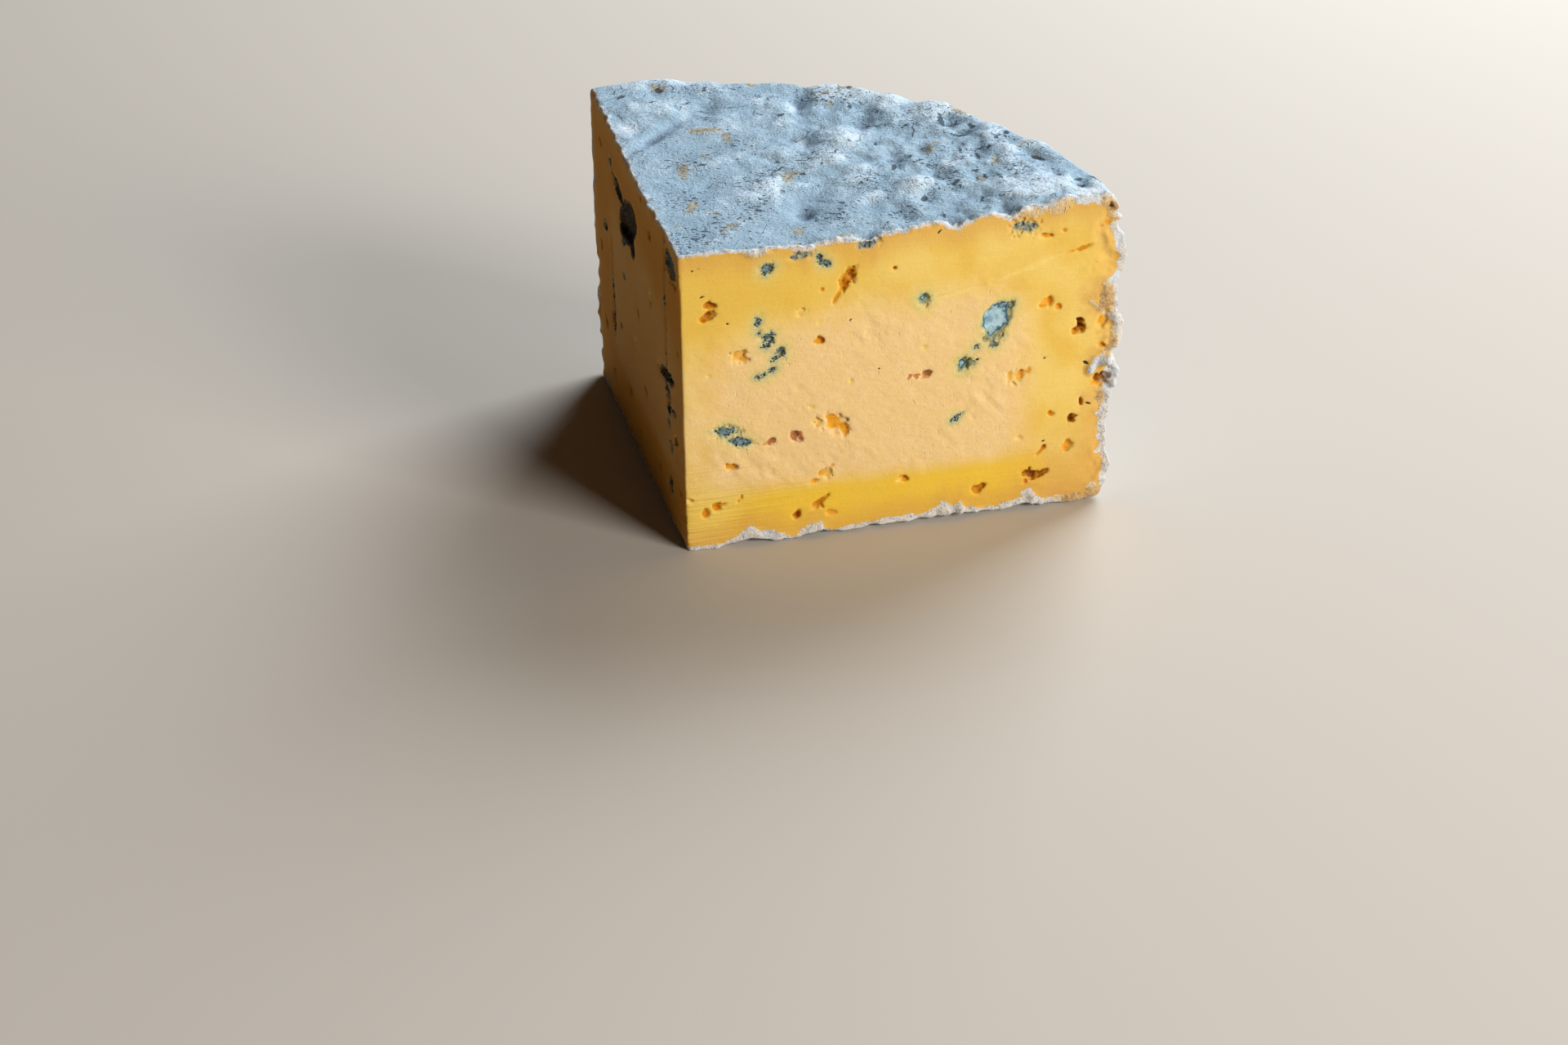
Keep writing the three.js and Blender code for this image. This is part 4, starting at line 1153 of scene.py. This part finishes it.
    # Painted shade: on the side cut face the mould and the large pit are painted dark brown-grey instead of blue,
    # standing in for the shade that face lies in
    shaded_pit_colour = g.mix(g.share(mottle, 0.0, 0.35), SHADED_PIT_DARK, SHADED_PIT_GREY)
    mould_colour = g.mix(g.times(g.value("side"), 0.6), mould_colour, shaded_pit_colour)
    mould_share = g.share(mould, 0.3, 0.05)
    colour = g.mix(mould_share, colour, mould_colour)
    pit = g.share(g.add(g.value("pit"), g.times(fine, 0.6)), 1.5, 0.9)
    colour = g.mix(pit, colour, shaded_pit_colour)

    # The large pocket: pale blue inside a thin dark rim
    pocket = g.add(g.value("pocket"), g.add(g.times(fine, 1.2), g.times(flecky, 0.8)))
    pocket_colour = g.mix(g.share(g.add(middle, g.times(fine, 0.5)), -0.15, 0.15), POCKET_LIGHT, POCKET_BLUE)
    pocket_line = g.share(g.add(pocket, g.times(middle, 1.2)), -0.55, -0.25)
    pocket_colour = g.mix(pocket_line, pocket_colour, POCKET_LINE)
    colour = g.mix(g.times(g.share(pocket, 4.0, 0.4), 0.45), colour, MOULD_FIELD)
    colour = g.mix(g.times(g.share(pocket, 1.1, 0.1), 0.7), colour, MOULD_HALO)
    colour = g.mix(g.share(pocket, 0.14, -0.06), colour, pocket_colour)

    # The rind cut through: white, blue where bloom lies on it, cream under the top, tan in places
    cut_rind = g.add(rind, g.add(g.times(fine, 1.4), g.times(flecky, 1.6)))
    tan = g.add(g.value("tan"), g.add(g.times(fine, 0.6), g.times(middle, 0.3)))
    crust_colour = g.mix(g.share(g.add(middle, g.times(fine, 0.8)), 0.0, 0.25), CRUST_WHITE, CRUST_BLUE)
    margin = g.share(g.add(g.value("bloom"), g.times(fine, 1.2)), -0.7, -1.5)
    crust_colour = g.mix(g.times(g.share(tan, 0.1, 0.45), margin), crust_colour, CRUST_CREAM)
    crust_colour = g.mix(g.share(tan, 0.6, 0.9), crust_colour, CRUST_TAN)
    crumbly = g.add(flecky, g.times(grain, 0.5))
    crust_colour = g.mix(g.times(g.share(crumbly, -0.03, -0.14), 0.5), crust_colour, CRUST_CREAM)
    crust_colour = g.mix(g.times(g.share(crumbly, 0.11, 0.2), 0.55), crust_colour, CRUST_GREY)
    snow = g.share(g.add(g.value("snow"), g.add(g.times(fine, 0.5), g.times(flecky, 0.6))), 0.15, 0.55)
    crust_colour = g.mix(g.times(snow, 0.85), crust_colour, SNOW)
    crust_share = g.share(cut_rind, -0.05, 0.2)
    colour = g.mix(crust_share, colour, crust_colour)

    # Grey mottled spots and dark specks, also where they lie in the crust
    spot = g.add(g.value("spot"), g.add(g.times(fine, 1.1), g.times(flecky, 1.2)))
    colour = g.mix(g.times(g.share(spot, 1.1, 0.1), 0.5), colour, MOULD_HALO)
    spot_colour = g.mix(g.share(flecky, -0.16, -0.06), SPOT_DARK, SPOT_GREY)
    spot_colour = g.mix(g.share(flecky, 0.02, 0.1), spot_colour, SPOT_CREAM)
    spot_share = g.share(spot, 0.25, -0.05)
    colour = g.mix(spot_share, colour, spot_colour)
    speck = g.share(g.add(g.value("speck"), g.times(fine, 0.5)), 0.22, 0.0)
    colour = g.mix(speck, colour, SPECK_BROWN)

    # The natural rind: blue-grey bloom; white on the lumps, partly frost and partly painted highlight; dark in the
    # hollows, partly darker bloom and partly painted shade
    relief = g.value("relief")
    stipple = g.noise(0.5, 2, 0.6)
    ground = g.add(g.value("flecked"), g.times(broad, 0.9))
    clouds = g.share(g.add(broad, g.times(middle, 0.4)), -0.15, 0.35)
    bloom_colour = g.mix(g.times(clouds, 0.35), BLOOM_BLUE, BLOOM_WHITE)
    # Painted highlight and painted shade: the bloom is whitened on crests of the relief and darkened in its hollows
    crest = g.share(g.add(relief, g.times(fine, 1.4)), 0.1, 1.3)
    bloom_colour = g.mix(g.times(crest, 0.7), bloom_colour, BLOOM_WHITE)
    hollow_shade = g.share(g.add(relief, g.times(fine, 1.2)), -0.3, -1.7)
    bloom_colour = g.mix(g.times(hollow_shade, 0.8), bloom_colour, BLOOM_HOLLOW_SHADE)
    frost = g.add(middle, g.add(g.times(fine, 0.8), g.times(relief, 0.35)))
    bloom_colour = g.mix(g.times(g.share(frost, 0.05, 0.4), 0.5), bloom_colour, BLOOM_WHITE)
    stipple_share = g.times(g.share(stipple, -0.01, -0.19), g.add(g.times(ground, 0.6), 0.26))
    bloom_colour = g.mix(stipple_share, bloom_colour, BLOOM_STIPPLE)
    bloom_colour = g.mix(g.times(g.share(stipple, 0.08, 0.25), 0.35), bloom_colour, BLOOM_WHITE)
    # White patches of the bloom, partly frost and partly painted highlight on lit ridges
    frost_and_highlight = g.add(g.value("frost_and_highlight"), g.add(g.times(middle, 1.6), g.times(fine, 1.6)))
    bloom_colour = g.mix(g.times(g.share(frost_and_highlight, 0.9, -0.9), 0.55), bloom_colour, BLOOM_WHITE)
    bloom_colour = g.mix(g.times(g.share(frost_and_highlight, -1.0, -2.4), 0.7), bloom_colour, SNOW)
    ochre = g.add(g.value("ochre"), g.add(g.times(fine, 3.0), g.times(flecky, 2.8)))
    ochre_colour = g.mix(g.share(g.add(fine, grain), -0.25, 0.15), OCHRE, OCHRE_PALE)
    bloom_colour = g.mix(g.times(g.share(ochre, 0.3, -0.3), 0.8), bloom_colour, ochre_colour)
    rim = g.value("rim")
    rim_patches = g.share(g.add(middle, g.times(broad, 0.8)), 0.0, 0.25)
    bloom_colour = g.mix(g.times(rim, 0.5), bloom_colour, RIM_GREY)
    bloom_colour = g.mix(g.times(g.times(rim, rim_patches), 0.6), bloom_colour, RIM_BROWN)

    crowded = g.times(ground, g.blend(g.value("outward"), 1.0, 0.7))
    dashes = g.noise(0.95, 1, 0.5, ((0, 0, -30), (1.5, 1, 1)), 0.6)
    dash_share = g.share(g.add(dashes, g.times(crowded, 0.15)), 0.22, 0.25)
    dots = g.noise(0.62, 1, 0.5)
    edge = g.share(g.value("bloom"), 3.2, 1.2)
    dot_share = g.share(g.add(dots, g.add(g.times(crowded, 0.1), g.times(edge, 0.06))), 0.21, 0.24)
    veins = g.math("ABSOLUTE", g.noise(6, 1, 0.5, ((0, 0, 40), (1.4, 1, 1)), 0.3))
    wrinkled = g.add(g.noise(5, 1), g.times(g.value("outward"), 0.1))
    creases = g.times(g.share(veins, 0.016, 0.005), g.share(wrinkled, 0.12, 0.19))
    creases = g.times(creases, g.blend(rim, 0.55, 0.15))
    # Dark patches of the bloom, partly dark marks and partly painted shadow in hollows
    dark_and_shadow = g.add(g.value("dark_and_shadow"), g.add(g.times(fine, 1.1), g.times(grain, 1.0)))
    dark_share = g.share(dark_and_shadow, 0.12, -0.12)
    flecks = g.most(g.times(dash_share, 0.85), g.most(g.times(dot_share, 0.75), g.times(dark_share, 0.85)))
    flecks = g.most(flecks, creases)
    bloom_colour = g.mix(flecks, bloom_colour, FLECK)
    lip = g.share(g.add(g.value("bloom"), g.add(g.times(fine, 2.6), g.times(flecky, 3.2))), 1.4, 0.9)
    lip_colour = g.mix(g.share(flecky, -0.1, 0.05), CRUST_BLUE, CRUST_WHITE)
    lip = g.times(lip, g.blend(g.value("side"), 0.8, 0.45))
    bloom_colour = g.mix(lip, bloom_colour, lip_colour)
    bloom_share = g.share(g.add(g.value("bloom"), g.times(flecky, 1.4)), 0.2, 0.7)
    colour = g.mix(bloom_share, colour, bloom_colour)
    g.connect(colour, g.shader.inputs["Base Color"])

    # Finish: the paste has a slight gloss, mould and rind none
    mouldy = g.most(g.most(mould_share, spot_share), crust_share)
    dull = g.most(g.most(mouldy, bloom_share), g.value("side"))
    smooth_paste = g.blend(core, g.add(0.42, g.times(middle, 0.2)), g.add(0.6, g.times(middle, 0.2)))
    g.connect(g.blend(dull, smooth_paste, 0.92), g.shader.inputs["Roughness"])
    g.shader.inputs["IOR"].default_value = 1.45
    g.shader.inputs["Specular IOR Level"].default_value = 0.15
    waxy = g.most(mouldy, bloom_share)
    g.connect(g.blend(waxy, 0.35, 0.06), g.shader.inputs["Subsurface Weight"])
    g.shader.inputs["Subsurface Radius"].default_value = (1.0, 0.75, 0.35)
    g.shader.inputs["Subsurface Scale"].default_value = 0.0022

    # Fine relief: knife lines and crumbs in the paste, felt on the bloom, grit in mould and crust
    knife = g.noise(0.8, 2, 0.5, ((0, 0, 0), (30, 30, 1)))
    nicks = g.noise(0.7, 1, 0.5, ((0, 0, 0), (1, 1, 2.6)))
    nicks = g.times(g.share(nicks, 0.12, 0.3), g.share(g.noise(6, 1), 0.0, 0.16))
    smears = g.noise(1.5, 3, 0.6, ((0, 8, 0), (3, 3, 1)), 0.5)
    chalk = g.add(g.add(g.times(fine, 0.3), g.times(grain, 0.2)), g.add(g.times(smears, 0.32), g.times(nicks, -0.35)))
    smooth_bump = g.add(g.times(knife, 0.2), g.add(g.times(fine, 0.16), g.times(smears, 0.14)))
    smooth_bump = g.add(smooth_bump, g.times(grain, 0.14))
    paste_bump = g.add(g.blend(core, smooth_bump, chalk), g.times(g.times(knife, g.value("knife")), 0.7))
    grit = g.add(g.times(fine, 1.5), g.times(grain, 1.3))
    felt = g.add(g.times(stipple, 0.4), g.add(g.times(fine, 0.75), g.times(grain, 0.15)))
    height = g.blend(mouldy, paste_bump, grit)
    height = g.blend(bloom_share, height, g.add(felt, g.times(flecks, -0.5)))
    bump = g.tree.nodes.new("ShaderNodeBump")
    bump.inputs["Strength"].default_value = 0.9
    bump.inputs["Distance"].default_value = 0.6 * MILLIMETRE
    g.connect(height, bump.inputs["Height"])
    g.connect(bump.outputs["Normal"], g.shader.inputs["Normal"])
    return g.material


vertices, quads = wedge_surface()
cheese = mesh_object("cheese", to_frame(vertices), quads)
thin_out(cheese)
store_values(cheese)
cheese.data.materials.append(cheese_material())
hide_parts(NODE)
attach(cheese, "root")

# The camera, from a fit to the wedge's corners, in its own axes
CAMERA_PLACE = (-143.33, -689.51, 386.54)
CAMERA_FORWARD = (0.21005, 0.85549, -0.47331)
CAMERA_UP = (0.12655, 0.45624, 0.88081)
FOCAL_PIXELS = 3800
IMAGE_WIDTH = 1920
SENSOR_WIDTH = 36


def add_camera():
    """A camera where the photograph was taken from."""
    data = bpy.data.cameras.new("camera")
    data.sensor_width = SENSOR_WIDTH
    data.lens = FOCAL_PIXELS * SENSOR_WIDTH / IMAGE_WIDTH
    camera = bpy.data.objects.new("camera", data)
    forward, up = Vector(CAMERA_FORWARD), Vector(CAMERA_UP)
    right = forward.cross(up).normalized()
    up = right.cross(forward).normalized()
    turn = Matrix((right, up, -forward.normalized())).transposed()
    camera.matrix_world = Matrix.Translation(to_frame(CAMERA_PLACE)) @ turn.to_4x4()
    bpy.context.scene.collection.objects.link(camera)
    bpy.context.scene.camera = camera


def add_light(name, place, size, power, colour, aim=(40, 40, 40)):
    """A soft square light, aimed at a point of the wedge."""
    data = bpy.data.lights.new(name, "AREA")
    data.size = size
    data.energy = power
    data.color = colour
    light = bpy.data.objects.new(name, data)
    start, end = Vector(to_frame(place)), Vector(to_frame(aim))
    light.location = start
    light.rotation_mode = "QUATERNION"
    light.rotation_quaternion = (end - start).to_track_quat("-Z", "Y")
    bpy.context.scene.collection.objects.link(light)


def add_floor():
    """A wide plain floor."""
    low = CORNER[2]
    corners = np.array([(-3, -3, low), (3, -3, low), (3, 3, low), (-3, 3, low)], float)
    floor = mesh_object("floor", corners, np.array([[0, 1, 2, 3]]))
    material = bpy.data.materials.new("floor")
    material.use_nodes = True
    shader = material.node_tree.nodes["Principled BSDF"]
    shader.inputs["Base Color"].default_value = (0.56, 0.51, 0.45, 1)
    shader.inputs["Roughness"].default_value = 0.8
    floor.data.materials.append(material)


add_camera()
add_floor()
add_light("key", (960, -1350, 780), 0.75, 31.8, (1.0, 0.96, 0.9))
add_light("fill", (1000, 950, 900), 1.0, 36.0, (0.9, 0.95, 1.0))
bpy.context.scene.view_settings.view_transform = "Standard"
world = bpy.data.worlds.new("world")
world.use_nodes = True
world.node_tree.nodes["Background"].inputs["Color"].default_value = (0.95, 0.7, 0.48, 1)
world.node_tree.nodes["Background"].inputs["Strength"].default_value = 0.034
bpy.context.scene.world = world
